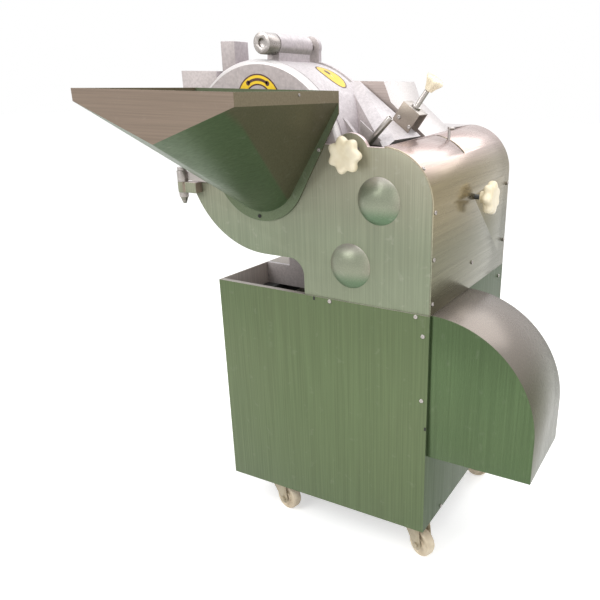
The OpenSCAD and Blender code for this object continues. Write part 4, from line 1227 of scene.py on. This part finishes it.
@dataclass
class Stickers(Maker):
    """Plain yellow stickers with a curved arrow."""

    film: float = 0.25
    kidney_at: tuple[float, float, float] = (-149.0, 12.0, 1127.0)
    kidney_r: tuple[float, float] = (40.0, 58.0)
    kidney_edge: float = 3.2
    oval_deg: float = 58.5
    oval_y: float = 142.0

    def band(self, inner: float, outer: float, start: float, end: float, lift: float) -> Object:
        """Models a flat ring sector in XY from a bent grid.

        Args:
            inner: inner radius, in millimetres.
            outer: outer radius, in millimetres.
            start: start angle in degrees.
            end: end angle in degrees.
            lift: height in millimetres.

        Returns:
            The sector.
        """
        Bench.clear()
        steps, middle, half = 96, (inner + outer) / 2, (outer - inner) / 2
        bpy.ops.mesh.primitive_grid_add(x_subdivisions=steps, y_subdivisions=2, size=2.0)
        sector = bpy.context.object
        for vertex in sector.data.vertices:
            turn = (end - start) * (1.0 - vertex.co.x) / 2
            near = middle * math.radians(min(turn, end - start - turn)) / half
            wide = math.sqrt(max(1.0 - max(1.0 - near, 0.0) ** 2, 0.0004))
            angle = math.radians(start + turn)
            reach = mm(middle + half * wide * vertex.co.y)
            vertex.co = (reach * math.cos(angle), reach * math.sin(angle), mm(lift))
        return sector

    def disc(self, along: float, across: float, lift: float) -> Object:
        """Models a flat oval in XY with enough rows to be wrapped.

        Args:
            along: half length in millimetres.
            across: half width in millimetres.
            lift: height in millimetres.

        Returns:
            The oval.
        """
        Bench.clear()
        bpy.ops.mesh.primitive_circle_add(vertices=48, radius=mm(1.0), fill_type="NGON",
                                          location=(0, 0, mm(lift)))
        oval = bpy.context.object
        oval.scale = (along, across, 1.0)
        Bench.settle(oval, "oval")
        Bench.edit(oval)
        bpy.ops.mesh.select_all(action="SELECT")
        for share in (0.22, 0.28, 0.3):
            bpy.ops.mesh.inset(thickness=mm(min(along, across) * share))
        Bench.close()
        return oval

    def thicken(self, obj: Object, place: Matrix, name: str) -> Object:
        """Gives a flat shape that faces +Z the film's thickness, sets it in place and names it."""
        Bench.thicken(obj, self.film, 1.0)
        return Bench.copies(obj, [place], name)

    def build(self) -> None:
        """Sets the kidney on the drum's front and the oval on the gate."""
        upright = Matrix.Translation(at(*self.kidney_at)) @ Matrix.Rotation(math.pi / 2, 4, "X")
        (low, high), edge = self.kidney_r, self.kidney_edge
        layers = (("kidney_edge", low - edge, high + edge, 14.0, 166.0, 0.0, "label_brown"),
                  ("kidney_face", low, high, 17.5, 162.5, 0.15, "label_yellow"),
                  ("kidney_arrow", 46.0, 52.0, 56.0, 124.0, 0.35, "label_brown"),
                  ("kidney_tip_a", 43.5, 54.5, 50.0, 63.0, 0.35, "label_brown"),
                  ("kidney_tip_b", 43.5, 54.5, 117.0, 130.0, 0.35, "label_brown"))
        for name, inner, outer, start, end, lift, finish in layers:
            piece = self.thicken(self.band(inner, outer, start, end, lift), upright, name)
            self.deliver(piece, Body.MACHINE.value, Slot.KNOB, finish)
        for name, along, across, lift, shift, finish in (("oval_edge", 45.0, 32.0, 0.1, 0.0, "label_brown"),
                                                         ("oval_face", 41.5, 27.5, 0.3, 0.0, "label_yellow"),
                                                         ("oval_arrow", 9.0, 6.5, 0.5, -14.0, "label_brown")):
            piece = self.thicken(self.disc(along, across, lift), Matrix.Translation((mm(shift), 0, 0)), name)
            self._wrap(piece)
            self.deliver(piece, Body.GATE.value, Slot.KNOB, finish)

    def _wrap(self, piece: Object) -> None:
        """Lays a flat piece on the round of the gate.

        Args:
            piece: the flat piece, long along X.
        """
        for vertex in piece.data.vertices:
            angle = math.radians(self.oval_deg) - vertex.co.x / mm(DRUM_R)
            reach = DRUM_R + vertex.co.z * MM_PER_M
            vertex.co = at(DRUM_X + reach * math.cos(angle), self.oval_y + vertex.co.y * MM_PER_M,
                           DRUM_Z + reach * math.sin(angle))
        Bench.face_out(piece)


@dataclass
class Stage:
    """Floor, light, world and camera."""

    eye: Vector = field(default_factory=lambda: at(835.8164, -1243.6441, 1176.8335))
    yaw: float = 0.458
    pitch: float = 0.3598
    roll: float = 0.0147
    focal_px: float = 646.561
    middle_px: tuple[float, float] = (399.017, 324.394)
    floor_glow: float = 0.5
    sky_soft: float = 0.62

    def build(self) -> None:
        """Builds the whole stage."""
        self._floor()
        self._world()
        self._lamps()
        self._camera()
        bpy.context.scene.view_settings.view_transform = "Standard"

    def _floor(self) -> None:
        """Makes a wide pale floor that stays near white."""
        Bench.clear()
        bpy.ops.mesh.primitive_plane_add(size=40.0)
        floor = bpy.context.object
        floor.name = "floor"
        material, graph, surface = new_material("pale_floor")
        surface.inputs["Base Color"].default_value = (0.86, 0.86, 0.85, 1.0)
        surface.inputs["Roughness"].default_value = 0.7
        surface.inputs["Emission Color"].default_value = (1.0, 1.0, 1.0, 1.0)
        graph.join(graph.math("MULTIPLY", graph.seen(), self.floor_glow), surface.inputs["Emission Strength"])
        floor.data.materials.append(material)

    def _world(self) -> None:
        """Makes a white world for the eye and a softer one for the light."""
        world = bpy.data.worlds.new("studio")
        world.use_nodes = True
        bpy.context.scene.world = world
        graph = Graph(world.node_tree)
        sky = world.node_tree.nodes["Background"]
        sky.inputs["Color"].default_value = (1.0, 1.0, 1.0, 1.0)
        graph.join(graph.span(graph.seen(), 0.0, 1.0, self.sky_soft, 1.0), sky.inputs["Strength"])

    @staticmethod
    def _lamps() -> None:
        """Sets the soft lamps."""
        target = at(0, 200, 700)
        for name, place, power, size in (("key", (-1400, -2600, 2900), 68.0, 2.2),
                                         ("top", (900, -300, 3500), 36.0, 2.4),
                                         ("fill", (2600, -1500, 1700), 24.0, 2.4),
                                         ("rim", (900, 2400, 2900), 24.0, 2.0)):
            data = bpy.data.lights.new(name, "AREA")
            data.energy = power
            data.size = size
            lamp = bpy.data.objects.new(name, data)
            bpy.context.scene.collection.objects.link(lamp)
            lamp.location = at(*place)
            lamp.rotation_euler = (target - lamp.location).to_track_quat("-Z", "Y").to_euler()

    def _camera(self) -> None:
        """Sets the camera at the photograph's viewpoint."""
        data = bpy.data.cameras.new("camera")
        data.sensor_fit = "HORIZONTAL"
        data.sensor_width = SENSOR_MM
        data.lens = self.focal_px / IMAGE_PX * SENSOR_MM
        data.shift_x = (IMAGE_PX / 2 - self.middle_px[0]) / IMAGE_PX
        data.shift_y = (self.middle_px[1] - IMAGE_PX / 2) / IMAGE_PX
        data.clip_end = 100.0
        back = Vector((math.sin(self.yaw) * math.cos(self.pitch), -math.cos(self.yaw) * math.cos(self.pitch),
                       math.sin(self.pitch)))
        level = Vector((math.cos(self.yaw), math.sin(self.yaw), 0.0))
        upright = back.cross(level)
        right = level * math.cos(self.roll) + upright * math.sin(self.roll)
        up = upright * math.cos(self.roll) - level * math.sin(self.roll)
        camera = bpy.data.objects.new("camera", data)
        bpy.context.scene.collection.objects.link(camera)
        camera.matrix_world = Matrix.Translation(self.eye) @ Matrix((right, up, back)).transposed().to_4x4()
        bpy.context.scene.camera = camera


def main() -> None:
    """Builds the dressed machine and its stage."""
    logging.basicConfig(level=logging.INFO)
    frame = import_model()
    Stage().build()
    palette = Palette()
    palette.build()
    groups = frame["record"]["behaviour"]["bodies"]
    body_of = {node: body for body, members in groups.items() for node in members}
    CadSkins(palette, frame["nodes"], body_of).build(frame["record"])
    for maker in (Screws, Knobs, Stickers):
        maker(palette).build()
    Trims(palette, frame["record"]["behaviour"]["joints"]).build()


if __name__ == "__main__":
    main()
